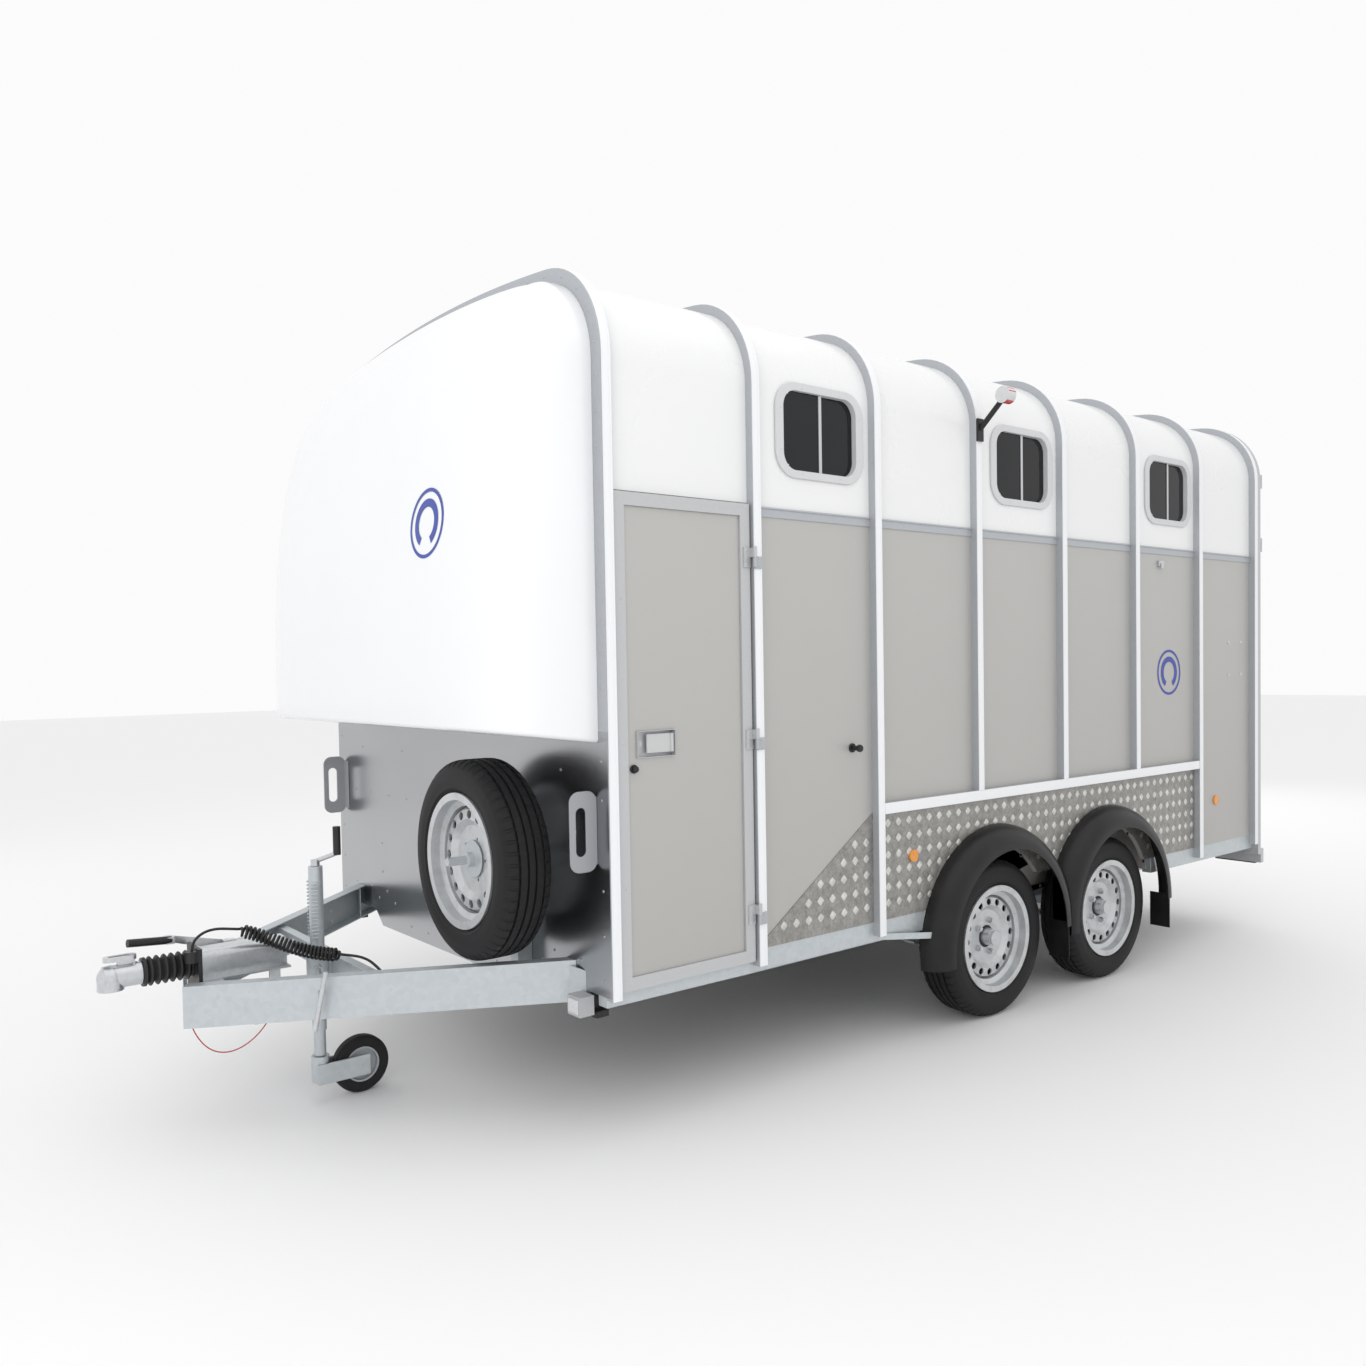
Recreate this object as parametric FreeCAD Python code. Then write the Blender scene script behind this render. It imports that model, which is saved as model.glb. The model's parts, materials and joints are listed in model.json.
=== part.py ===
import FreeCAD, Part
import math, os

# Twin-axle livestock and horse trailer, in millimetres, +Z up, drawbar towards -Y, door side +X.
# While it is modelled, Y runs rearwards from the front face of the first body hoop and Z from
# the ground. Every node is then moved so that the origin is the middle of the footprint.

V = FreeCAD.Vector
X_AXIS = V(1, 0, 0)
Y_AXIS = V(0, 1, 0)
Z_AXIS = V(0, 0, 1)
CENTRE = V(0, 0, 0)

# Body
PITCH = 609.6                   # hoop spacing
HOOPS = 8
POST_W = 38
POST_OUT = 1067                 # outer face of the hoops
PANEL_OUT = 1035                # outer face of the side panels
PANEL_IN = 1013
BODY_LEN = (HOOPS - 1) * PITCH + POST_W
ROOF_TOP = 2810
CORNER_R = 330
CROWN_RISE = 40
SKIN_INSET = POST_OUT - PANEL_OUT
SKIN_INNER = POST_OUT - PANEL_IN
WAIST = 1994
WAIST_STRIP = 34
SILL_TOP = 511
SILL_BOTTOM = 435
RAIL_BOTTOM = 918
RAIL_TOP = 960
FLOOR_TOP = 533
TREAD_T = 3

# Running gear
AXLE_Y = (1964, 2822)
AXLE_Z = 328
TYRE_R = 328
TYRE_W = 176
RIM_FLANGE_R = 222
WHEEL_X = 970                   # mid plane of the wheels
SPINDLE_R = 20
SPINDLE_CLEARANCE = 0.05
GUARD_R = 392
GUARD_T = 5
GUARD_OUT = 1138

# Drawbar and coupling
TIP_Y = -970
TIP_X = 130
RAIL_SPREAD = 0.7526            # sideways run of each drawbar rail per unit length
RAIL_H = 134
RAIL_W = 46
RAIL_T = 5
RAIL_Z_FRONT = 366
RAIL_Z_BODY = 420
TUBE_Z = 540                    # axis of the draw tube
TUBE_R = 25
BALL_Y = -1178
BALL_R = 25.5
HEAD_R = 40
HEAD_FRONT = BALL_Y - HEAD_R
HANDLE_PIN = V(0, -1112, 575)
JOCKEY = V(60, -540, 0)
JOCKEY_R = 24
CLAMP_WAY = V(322, -111, 0).normalize()     # the clamp screw's direction, out through the left rail
CLAMP_Z = 470
JOCKEY_BORE = 20
JOCKEY_WHEEL_R = 100

# Doors, ramp and windows
DOOR_FRONT = 42
DOOR_REAR = 602
DOOR_BOTTOM = 478
DOOR_TOP = 2030
DOOR_OUT = 1055
DOOR_IN = 1020
DOOR_FRAME_W = 42
DOOR_AXIS = V(1076, 606, 0)
WINDOW_Z = 2306
WINDOW_W = 366
WINDOW_H = 277
WINDOW_SHIFT = 30
RAMP_TOP = 1700
REAR_FACE = BODY_LEN + 0.5
LAMP_DEPTH = 88                 # rear face of the lamp clusters behind the body
REAR_INSET = 80

# Nose
NOSE_INSET = 48
NOSE_BOTTOM = 1250
NOSE_LOW = 1256
NOSE_DEPTH = 365
NOSE_WALL = 8
NOSE_PLAN_POWER = 6.2
NOSE_LEAN_POWER = 3.1
NOSE_UNDER_SLOPE = 0.1315

Y_SHIFT = -(HEAD_FRONT + REAR_FACE + LAMP_DEPTH) / 2


def block(xs, ys, zs):
    return Part.makeBox(xs[1] - xs[0], ys[1] - ys[0], zs[1] - zs[0], V(xs[0], ys[0], zs[0]))


def rod(start, end, radius):
    return Part.makeCylinder(radius, (end - start).Length, start, end - start)


def pipe(start, end, outer, inner):
    return rod(start, end, outer).cut(rod(start, end, inner))


def mirrored(shape):
    return shape.mirror(CENTRE, X_AXIS)


def both(shapes):
    """The shapes and their mirror images on the other side of the trailer."""
    return shapes + [mirrored(shape) for shape in shapes]


def prism(points, along):
    """A closed outline of points pushed along a vector."""
    return Part.Face(Part.makePolygon(points + points[:1])).extrude(along)


def turned(profile, axis_point, axis):
    return Part.Face(Part.makePolygon(profile + profile[:1])).revolve(axis_point, axis, 360)


def rounded_block(centre_y, centre_z, width, height, radius, xs):
    """A plate in the YZ plane with round corners, from xs[0] to xs[1]."""
    ys = (centre_y - width / 2, centre_y + width / 2)
    plate = block(xs, ys, (centre_z - height / 2, centre_z + height / 2))
    edges = [e for e in plate.Edges if abs(e.tangentAt(e.FirstParameter).x) > 0.99]
    return plate.makeFillet(radius, edges)


def arch_heights(inset):
    """Top and corner-centre height of the body outline, moved in by inset."""
    half = POST_OUT - CORNER_R
    crown = (half ** 2 + CROWN_RISE ** 2) / (2 * CROWN_RISE)
    corner_z = ROOF_TOP - crown + math.sqrt((crown - CORNER_R) ** 2 - half ** 2)
    return crown, corner_z, half


SPRING_Z = arch_heights(0)[1]


def arch(inset, y0, y1, z0):
    """The solid under the body outline moved in by inset, from z0 up, between y0 and y1."""
    crown, corner_z, half = arch_heights(inset)
    side = POST_OUT - inset
    crown_z = ROOF_TOP - crown
    join = math.atan2(half, corner_z - crown_z)
    radius = CORNER_R - inset
    corner = V(half, y0, corner_z)
    middle = (math.pi / 2 + join) / 2
    on_corner = corner + V(math.sin(middle), 0, math.cos(middle)) * radius
    meet = V(0, y0, crown_z) + V(math.sin(join), 0, math.cos(join)) * (crown - inset)
    flip = lambda p: V(-p.x, p.y, p.z)
    spring = V(side, y0, corner_z)
    foot = V(side, y0, z0)
    edges = [Part.LineSegment(foot, spring).toShape(),
             Part.Arc(spring, on_corner, meet).toShape(),
             Part.Arc(meet, V(0, y0, ROOF_TOP - inset), flip(meet)).toShape(),
             Part.Arc(flip(meet), flip(on_corner), flip(spring)).toShape(),
             Part.LineSegment(flip(spring), flip(foot)).toShape(),
             Part.LineSegment(flip(foot), foot).toShape()]
    return Part.Face(Part.Wire(edges)).extrude(V(0, y1 - y0, 0))


def hoop_y(index):
    return index * PITCH


def window_centres():
    """Middle of each window along the body: bays two, four and six."""
    return [hoop_y(bay) + (PITCH + POST_W) / 2 + WINDOW_SHIFT for bay in (1, 3, 5)]


def wheel_cut(xs, extra):
    """Space above and around one side's two wheels."""
    cutters = [rod(V(xs[0], y, AXLE_Z), V(xs[1], y, AXLE_Z), GUARD_R - 6 + extra) for y in AXLE_Y]
    between = block(xs, AXLE_Y, (0, 560 + extra))
    return cutters[0].fuse([cutters[1], between])


# ---------------------------------------------------------------- body

def side_posts():
    posts = []
    for index in range(HOOPS):
        short = index in (3, 4, 5)
        low = RAIL_TOP if short else 460
        posts.append(block((PANEL_OUT, POST_OUT), (hoop_y(index), hoop_y(index) + POST_W), (low, SPRING_Z)))
    rail = block((PANEL_OUT, POST_OUT), (hoop_y(2) + POST_W, hoop_y(6)), (RAIL_BOTTOM, RAIL_TOP))
    return both(posts + [rail])


def roof_bows():
    bows = []
    below = block((-1500, 1500), (-100, 5000), (0, SPRING_Z))
    for index in range(HOOPS):
        y0 = hoop_y(index)
        ring = arch(0, y0, y0 + POST_W, WAIST).cut(arch(SKIN_INSET, y0, y0 + POST_W, WAIST))
        bows.append(ring.cut(below))
    band = arch(0, -TREAD_T, -0.5, NOSE_BOTTOM + 42).cut(arch(66, -TREAD_T, -0.5, NOSE_BOTTOM + 42))
    strips = []
    for bay in range(HOOPS - 1):
        ys = (hoop_y(bay) + POST_W, hoop_y(bay + 1))
        strip = block((PANEL_OUT, PANEL_OUT + 5), ys, (WAIST, WAIST + WAIST_STRIP))
        strips.append(mirrored(strip))
        if bay > 0:
            strips.append(strip)
    return bows + [band] + strips


def roof_shell():
    shell = arch(SKIN_INSET, 0, BODY_LEN, WAIST).cut(arch(SKIN_INNER, 0, BODY_LEN, WAIST))
    door_head = block((PANEL_IN - 20, PANEL_OUT + 20), (POST_W, PITCH), (WAIST, DOOR_TOP + 6))
    shell = shell.cut(door_head)
    for centre in window_centres():
        for side in (1, -1):
            xs = sorted((side * (PANEL_IN - 30), side * (PANEL_OUT + 30)))
            hole = rounded_block(centre, WINDOW_Z, WINDOW_W + 44, WINDOW_H + 44, 82, xs)
            shell = shell.cut(hole)
    return [shell]


def lower_panels():
    xs = (PANEL_IN, PANEL_OUT)
    left = block(xs, (PITCH, BODY_LEN), (SILL_TOP, WAIST)).cut(wheel_cut((900, 1100), 4))
    right = block(xs, (0, BODY_LEN), (SILL_TOP, WAIST)).cut(wheel_cut((900, 1100), 4))
    return [left, mirrored(right)]


def tread_plates():
    """Chequer plate round the wheels and in the bay ahead, with a smooth corner plate behind."""
    inner = PANEL_OUT
    thick = V(TREAD_T, 0, 0)
    main = block((inner, inner + TREAD_T), (hoop_y(2) + POST_W, hoop_y(6)), (SILL_TOP, RAIL_BOTTOM))
    main = main.cut(wheel_cut((900, 1100), 4))
    front_y, front_end = hoop_y(1) + POST_W, hoop_y(2)
    front = prism([V(inner, front_y, SILL_TOP), V(inner, front_end, SILL_TOP), V(inner, front_end, 926),
                   V(inner, front_y, 530)], thick)
    rear_y, rear_end = hoop_y(6) + POST_W, hoop_y(7)
    rear = prism([V(inner, rear_y, SILL_TOP), V(inner, rear_end, SILL_TOP), V(inner, rear_end, 528),
                  V(inner, rear_y, 880)], thick)
    return both([main, front, rear])


def front_bulkhead():
    """Bright sheet across the front, with its lower edge stepped down between the drawbar rails."""
    low, mid, top = 470, 408, NOSE_BOTTOM + 42
    outline = [V(-POST_OUT, -0.5, top), V(-POST_OUT, -0.5, low), V(-700, -0.5, low), V(-630, -0.5, mid),
               V(630, -0.5, mid), V(700, -0.5, low), V(POST_OUT, -0.5, low), V(POST_OUT, -0.5, top)]
    return [prism(outline, V(0, 0.5 - TREAD_T, 0))]


def nose_section(z, wall):
    """Horizontal outline of the nose at height z: a rounded front closed by a straight back."""
    crown, corner_z, half = arch_heights(0)
    inset = NOSE_INSET + wall
    radius = CORNER_R - inset
    if z <= corner_z:
        width = POST_OUT - inset
    else:
        width = half + math.sqrt(max(radius ** 2 - (z - corner_z) ** 2, 0))
    nose_top = ROOF_TOP - inset - CROWN_RISE
    lean = min((z - NOSE_LOW) / (nose_top + 24 - NOSE_LOW), 1)
    depth = (NOSE_DEPTH - wall) * (1 - lean ** NOSE_LEAN_POWER) ** (2 / NOSE_LEAN_POWER)
    points = []
    steps = 24
    for step in range(steps + 1):
        angle = math.pi * step / steps
        c, s = math.cos(angle), math.sin(angle)
        x = math.copysign(abs(c) ** (2 / NOSE_PLAN_POWER), c) * width
        points.append(V(x, -3.5 - s ** (2 / NOSE_PLAN_POWER) * depth, z))
    return Part.makePolygon(points + points[:1])


def nose_loft(wall, z0):
    inset = NOSE_INSET + wall
    top = ROOF_TOP - inset - CROWN_RISE
    levels = [z0] + [NOSE_LOW + (top - NOSE_LOW) * f for f in
                     (0.25, 0.5, 0.65, 0.76, 0.84, 0.9, 0.95, 0.98, 1.0)]
    below = prism([V(-1200, -3.5, z0 - 60), V(-1200, -600, z0 - 60), V(-1200, -600, z0 + 596.5 * NOSE_UNDER_SLOPE),
                   V(-1200, -3.5, z0)], V(2400, 0, 0))
    return Part.makeLoft([nose_section(z, wall) for z in levels], True, True).cut(below)


def nose_shell():
    outer = nose_loft(0, NOSE_LOW)
    inner = nose_loft(NOSE_WALL, NOSE_LOW + NOSE_WALL)
    opening = arch(NOSE_INSET + NOSE_WALL + 20, -60, 0, NOSE_LOW + 60)
    return [outer.cut([inner, opening])]


def grab_handles():
    """Plate handles that stand forward of the bulkhead near its corners."""
    plate = rounded_block(-53, 985, 98, 250, 34, (997, 1004))
    slot = rounded_block(-62, 985, 38, 150, 18, (990, 1010))
    foot = block((960, 1004), (-8, -3.2), (880, 1090))
    return both([plate.cut([slot, block((990, 1010), (-8, 10), (800, 1200))]).fuse(foot)])


def floor_deck():
    well = block((PANEL_IN - 158, PANEL_OUT), (AXLE_Y[0] - 405, AXLE_Y[1] + 405), (0, 900))
    deck = block((-PANEL_IN + 5, PANEL_IN - 5), (1, BODY_LEN - 3), (SILL_TOP, FLOOR_TOP))
    return [deck.cut([well, mirrored(well)])]


def wheel_boxes():
    """Sheet boxes that stand up into the load space over the wheels."""
    inner_x = PANEL_IN - 157
    ys = (AXLE_Y[0] - 404, AXLE_Y[1] + 404)
    solid = block((inner_x, PANEL_IN), ys, (SILL_TOP - 60, 812))
    hollow = block((inner_x + 3, PANEL_IN + 1), (ys[0] + 3, ys[1] - 3), (0, 809))
    return both([solid.cut(hollow)])


def window_frames():
    frames = []
    for centre in window_centres():
        flange = rounded_block(centre, WINDOW_Z, WINDOW_W + 78, WINDOW_H + 58, 95, (PANEL_OUT, PANEL_OUT + 9))
        spigot = rounded_block(centre, WINDOW_Z, WINDOW_W + 42, WINDOW_H + 42, 81, (PANEL_IN - 4, PANEL_OUT))
        light = rounded_block(centre, WINDOW_Z, WINDOW_W, WINDOW_H, 60, (PANEL_IN - 10, PANEL_OUT + 20))
        frames.append(flange.fuse(spigot).cut(light))
    return both(frames)


def window_fixed_panes():
    """Front half of each window, with an aluminium stile down its rear edge."""
    panes = []
    for centre in window_centres():
        whole = rounded_block(centre, WINDOW_Z, WINDOW_W, WINDOW_H, 60, (1026, 1030))
        front = whole.cut(block((1020, 1040), (centre + 12, centre + 400), (2000, 2600)))
        stile = block((1023.5, 1034), (centre - 2, centre + 12), (WINDOW_Z - 138, WINDOW_Z + 138))
        panes.append(front.cut(stile))
        panes.append(stile)
    return both(panes)


def window_slider(centre):
    """Rear half of a window, which slides forward past the fixed pane."""
    height = WINDOW_H - 1
    whole = rounded_block(centre, WINDOW_Z, WINDOW_W - 1, height, 59.5, (1017, 1021))
    rear = whole.cut(block((1010, 1040), (centre - 400, centre - 12), (2000, 2600)))
    stile = block((1014, 1023), (centre - 12, centre + 2), (WINDOW_Z - height / 2, WINDOW_Z + height / 2))
    pull = block((1010, 1014), (centre - 10, centre), (WINDOW_Z - 30, WINDOW_Z + 30))
    return [rear.cut(stile), stile.fuse(pull)]


# ---------------------------------------------------------------- groom door

def groom_door_frame():
    """Aluminium edge section, with the hinge leaves and the dished latch pocket fixed to it."""
    xs = (DOOR_IN, DOOR_OUT)
    ys, zs = (DOOR_FRONT, DOOR_REAR), (DOOR_BOTTOM, DOOR_TOP)
    w = DOOR_FRAME_W
    ring = block(xs, ys, zs).cut(block((1000, 1100), (ys[0] + w, ys[1] - w), (zs[0] + w, zs[1] - w)))
    dish = block((1028, DOOR_OUT), (120, 272), (1203, 1288)).cut(block((1030, 1100), (122, 270), (1205, 1286)))
    solids = [ring, dish]
    for low in (608, 1204, 1816):
        leaf = block((DOOR_OUT, DOOR_OUT + 4), (DOOR_REAR - 30, DOOR_REAR), (low, low + 66))
        knuckle = rod(DOOR_AXIS + V(0, 0, low + 34), DOOR_AXIS + V(0, 0, low + 66), 7)
        web = block((DOOR_OUT, DOOR_AXIS.x), (DOOR_REAR - 3, DOOR_REAR + 1), (low + 34, low + 66))
        pin = rod(DOOR_AXIS + V(0, 0, low + 66), DOOR_AXIS + V(0, 0, low + 70), 7)
        solids.append(leaf.fuse([knuckle, web, pin]))
    return solids


def door_hinge_halves():
    """The halves of the groom-door hinges that stay on the second hoop."""
    halves = []
    for low in (608, 1204, 1816):
        knuckle = rod(DOOR_AXIS + V(0, 0, low), DOOR_AXIS + V(0, 0, low + 33.6), 7)
        web = block((POST_OUT, DOOR_AXIS.x), (hoop_y(1) + 0.1, hoop_y(1) + 4), (low, low + 33.6))
        halves.append(knuckle.fuse(web))
    return halves


def groom_door_leaf():
    w = DOOR_FRAME_W
    panel = block((DOOR_IN + 3, DOOR_OUT - 8), (DOOR_FRONT + w, DOOR_REAR - w),
                  (DOOR_BOTTOM + w, DOOR_TOP - w))
    return [panel.cut(block((1000, 1100), (120, 272), (1203, 1288)))]


def door_latch_paddle():
    grip = block((1042, 1046), (166, 266), (1216, 1276))
    lip = block((1046, 1051), (256, 266), (1216, 1276))
    barrel = rod(V(1042, 168, 1216), V(1042, 168, 1276), 5)
    return [grip.fuse([lip, barrel])]


# ---------------------------------------------------------------- rear

def rear_frame():
    ring = arch(0, REAR_FACE, REAR_FACE + 30, 400).cut(arch(REAR_INSET, REAR_FACE - 1, REAR_FACE + 31, 400))
    beam = block((-POST_OUT, POST_OUT), (REAR_FACE + 30, REAR_FACE + 62), (352, 430))
    threshold = block((-POST_OUT + REAR_INSET, POST_OUT - REAR_INSET), (REAR_FACE, REAR_FACE + 30), (400, 452))
    hinge_posts = []
    for low in (2056, 2400):
        for offset in (0, 52):
            knuckle = rod(V(1058, 4352, low + offset), V(1058, 4352, low + offset + 22), 9)
            web = block((1052, 1064), (REAR_FACE + 30, 4352), (low + offset, low + offset + 22))
            hinge_posts.append(knuckle.fuse(web))
    return [ring, beam, threshold] + both(hinge_posts)


def rear_door(side):
    """One upper rear door, cut to the arch, with two strap hinges at its outer edge."""
    ys = (REAR_FACE + 2, REAR_FACE + 28)
    leaf = arch(REAR_INSET + 3, ys[0], ys[1], RAMP_TOP + 6)
    leaf = leaf.cut(block((-2000, 2), (ys[0] - 5, ys[1] + 5), (1000, 3000)))
    solids = [leaf]
    for low in (2078.4, 2422.4):
        strap = block((880, 1058), (REAR_FACE + 30.4, REAR_FACE + 36), (low, low + 29.2))
        spacer = block((880, 960), (ys[1], REAR_FACE + 30.4), (low, low + 29.2))
        knuckle = rod(V(1058, 4352, low), V(1058, 4352, low + 29.2), 9)
        web = block((1050, 1062), (REAR_FACE + 34, 4352), (low, low + 29.2))
        solids.append(strap.fuse([spacer, knuckle, web]))
    if side < 0:
        solids = [mirrored(shape) for shape in solids]
    return solids


def rear_ramp():
    """Ramp with battens inside; it hinges on the threshold and closes the lower half of the back."""
    half = POST_OUT - REAR_INSET - 4
    panel = block((-half, half), (REAR_FACE + 2, REAR_FACE + 28), (470, RAMP_TOP))
    frame_out = block((-half, half), (REAR_FACE + 28, REAR_FACE + 40), (470, RAMP_TOP))
    frame = frame_out.cut(block((-half + 60, half - 60), (4300, 4400), (530, RAMP_TOP - 60)))
    barrels = []
    for x in (-700, 0, 700):
        barrel = rod(V(x - 90, REAR_FACE + 46, 460), V(x + 90, REAR_FACE + 46, 460), 10)
        web = block((x - 90, x + 90), (REAR_FACE + 40, REAR_FACE + 46), (460, 500))
        barrels.append(barrel.fuse(web))
    battens = [block((-half + 40, half - 40), (REAR_FACE - 12, REAR_FACE + 2), (z, z + 22))
               for z in (640, 820, 1000, 1180, 1360)]
    return [panel, frame] + barrels + battens


def ramp_latch(side):
    """Drop lever near the top of the ramp, whose nose reaches over the edge of the rear frame."""
    pivot = V(950, REAR_FACE + 40.4, 1650)
    boss = rod(pivot, pivot + V(0, 16, 0), 17)
    lever = block((939, 961), (REAR_FACE + 46, REAR_FACE + 56), (1505, 1650))
    nose = block((950, 1022), (REAR_FACE + 46, REAR_FACE + 56), (1640, 1660))
    latch = boss.fuse([lever, nose])
    return [latch if side > 0 else mirrored(latch)]


def centre_partition():
    """Swinging divider in the load space: a framed board on a hinge tube at its front end."""
    tube = pipe(V(0, 950, 640), V(0, 950, 1880), 24, 20.05)
    board = block((-12, 12), (1000, 3500), (760, 1820))
    top = rod(V(0, 972, 1840), V(0, 3500, 1840), 17)
    bottom = rod(V(0, 972, 742), V(0, 3500, 742), 17)
    end = rod(V(0, 3500, 725), V(0, 3500, 1857), 17)
    rails = top.fuse([bottom, end]).cut(rod(V(0, 950, 600), V(0, 950, 1900), 24))
    return [tube, board.cut([top, bottom, end]), rails]


# ---------------------------------------------------------------- chassis and drawbar

def rail_z(y):
    """Underside of the drawbar rails, which slope down towards the coupling."""
    return RAIL_Z_BODY + (RAIL_Z_BODY - RAIL_Z_FRONT) * y / -TIP_Y


def clamp_point(distance):
    """A point on the jockey clamp screw's axis, measured from the jockey tube's axis."""
    return V(JOCKEY.x, JOCKEY.y, CLAMP_Z) + CLAMP_WAY * distance


def drawbar_rails():
    """Two folded channels from the coupling to under the body, open towards each other."""
    run = 1500
    length = run * math.hypot(1, RAIL_SPREAD)
    drop = (rail_z(0) - rail_z(TIP_Y)) / -TIP_Y * run

    def bar(x0, x1, trim):
        outline = [V(x0, 0, RAIL_Z_FRONT + trim), V(x0, length, RAIL_Z_FRONT + drop + trim),
                   V(x0, length, RAIL_Z_FRONT + drop + RAIL_H - trim), V(x0, 0, RAIL_Z_FRONT + RAIL_H - trim)]
        return prism(outline, V(x1 - x0, 0, 0))

    channel = bar(0, RAIL_W, 0).cut(bar(-1, RAIL_W - RAIL_T, RAIL_T))
    channel.rotate(CENTRE, Z_AXIS, -math.degrees(math.atan(RAIL_SPREAD)))
    channel.translate(V(TIP_X - RAIL_W, TIP_Y, 0))
    under_floor = block((-1500, 1500), (-3.6, 900), (466, 900))
    beyond = block((-1500, 1500), (120, 3000), (0, 900))
    channel = channel.cut([under_floor, beyond])
    screw_hole = rod(clamp_point(250), clamp_point(420), 9.5)
    short_end = block((0, 400), (TIP_Y - 60, -920), (0, 900))
    return [channel.cut(screw_hole), mirrored(channel.cut(short_end))]


def rail_tie(y0, y1, depth, zs):
    """A block across the drawbar that reaches depth into each channel from its open side."""
    stretch = math.hypot(1, RAIL_SPREAD)
    front, back = [TIP_X - RAIL_W + RAIL_SPREAD * (y - TIP_Y) + depth * stretch for y in (y0, y1)]
    outline = [V(-front, y0, zs[0]), V(front, y0, zs[0]), V(back, y1, zs[0]), V(-back, y1, zs[0])]
    return prism(outline, V(0, 0, zs[1] - zs[0]))


def chassis_frame():
    """Long rails, cross members, sills, spare-wheel bracket and the partition's post."""
    long_rail = block((760, 812), (121, BODY_LEN - 50), (380, 465))
    long_rail = long_rail.cut(block((760, 806), (100, 5000), (386, 459)))
    sill = block((PANEL_IN - 25, PANEL_OUT), (PITCH, AXLE_Y[0] - 410), (SILL_BOTTOM, SILL_TOP))
    door_sill = block((PANEL_IN - 25, PANEL_OUT), (0, PITCH), (SILL_BOTTOM, DOOR_BOTTOM - 6))
    rear_sill = block((PANEL_IN - 25, PANEL_OUT), (AXLE_Y[1] + 410, BODY_LEN), (SILL_BOTTOM, SILL_TOP))
    solids = both([long_rail, sill, door_sill, rear_sill])
    for index in range(HOOPS):
        y0 = hoop_y(index) + (6 if index == 0 else 0)
        half = 850 if 1500 < y0 < 3300 else PANEL_IN - 25
        solids.append(block((-half, half), (y0, min(y0 + 40, BODY_LEN)), (466, SILL_TOP)))
    solids.append(rail_tie(-922, -860, 0, (380, 492)))
    solids.append(rail_tie(-502, -467, RAIL_W - RAIL_T - 0.5, (440, 512)))
    post = block((550, 600), (-60, -3.6), (480, 900))
    stub = rod(V(575, -60, 868), V(575, -300, 868), 14)
    plate = rod(V(575, -203, 868), V(575, -209, 868), 62)
    nut = rod(V(575, -209, 868), V(575, -232, 868), 24)
    solids += [post, stub.fuse([plate, nut])]
    tube = rod(V(0, 950, FLOOR_TOP), V(0, 950, ROOF_TOP - SKIN_INNER - 2), SPINDLE_R)
    collar = pipe(V(0, 950, 600), V(0, 950, 639.5), 30, 20)
    solids.append(tube.fuse(collar))
    return solids


def overrun_housing():
    """Casting that guides the draw tube, with the socket bracket at its front."""
    body = block((-44, 44), (-925, -640), (492, 588))
    edges = [e for e in body.Edges if abs(e.tangentAt(e.FirstParameter).y) > 0.99]
    body = body.makeFillet(26, [e for e in edges if e.CenterOfMass.z > 540])
    base = block((-84, 84), (-925, -640), (492, 498))
    bore = rod(V(0, -1000, TUBE_Z), V(0, -500, TUBE_Z), TUBE_R + SPINDLE_CLEARANCE)
    bracket = block((-48, 86), (-937, -925), (385, 602)).cut(bore)
    lug = block((-66, -40), (-820, -780), (540, 588))
    lever_pin = rod(V(-66, -800, 566), V(-88, -800, 566), 8)
    holder = rod(V(66, -952, 560), V(66, -952, 596), 21)
    ear = block((48, 84), (-944, -937), (560, 596))
    return [body.fuse([base, lug, lever_pin]).cut(bore), bracket.fuse([ear, holder])]


def coupling_head():
    """Pressed-steel ball coupling with a blind ball socket underneath."""
    barrel = rod(V(0, -1090, TUBE_Z), V(0, -1200, TUBE_Z), 37)
    nose = Part.makeSphere(HEAD_R, V(0, BALL_Y, TUBE_Z - 2))
    skirt = Part.makeCylinder(39, 34, V(0, BALL_Y, 500))
    head = barrel.fuse([nose, skirt]).common(block((-60, 60), (HEAD_FRONT - 5, -1000), (500, 600)))
    socket = Part.makeCylinder(BALL_R, 38, V(0, BALL_Y, 499))
    slot = block((-8, 8), (-1160, -1100), (560, 640))
    pin = rod(HANDLE_PIN - V(16, 0, 0), HANDLE_PIN + V(16, 0, 0), 3)
    return [head.cut([socket, slot]).fuse(pin)]


def coupling_handle():
    """Lift handle on top of the coupling, a loop pinned at its rear end."""
    arm = block((-7.5, 7.5), (-1158, -1106), (566, 590))
    loop = rounded_block(0, 0, 96, 44, 18, (0, 14))
    loop = loop.cut(rounded_block(0, 0, 66, 22, 10, (-1, 15)))
    loop.rotate(CENTRE, Y_AXIS, 90)
    loop.translate(V(0, -1150, 604))
    pin_hole = rod(HANDLE_PIN - V(16, 0, 0), HANDLE_PIN + V(16, 0, 0), 3 + SPINDLE_CLEARANCE)
    return [arm.fuse(loop).cut(pin_hole)]


def draw_tube():
    return [pipe(V(0, -1089.9, TUBE_Z), V(0, -600, TUBE_Z), TUBE_R, 17)]


def draw_bellows():
    """Rubber gaiter between the coupling and the housing, with six folds."""
    start, end, folds = -1088, -938, 6
    step = (end - start) / folds
    profile = [V(27, start, 0)]
    for fold in range(folds):
        y = start + fold * step
        profile += [V(36, y, 0), V(47, y + step * 0.35, 0), V(47, y + step * 0.65, 0)]
    profile += [V(36, end, 0), V(27, end, 0)]
    ring = turned(profile, CENTRE, Y_AXIS)
    ring.translate(V(0, 0, TUBE_Z))
    return [ring]


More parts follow.
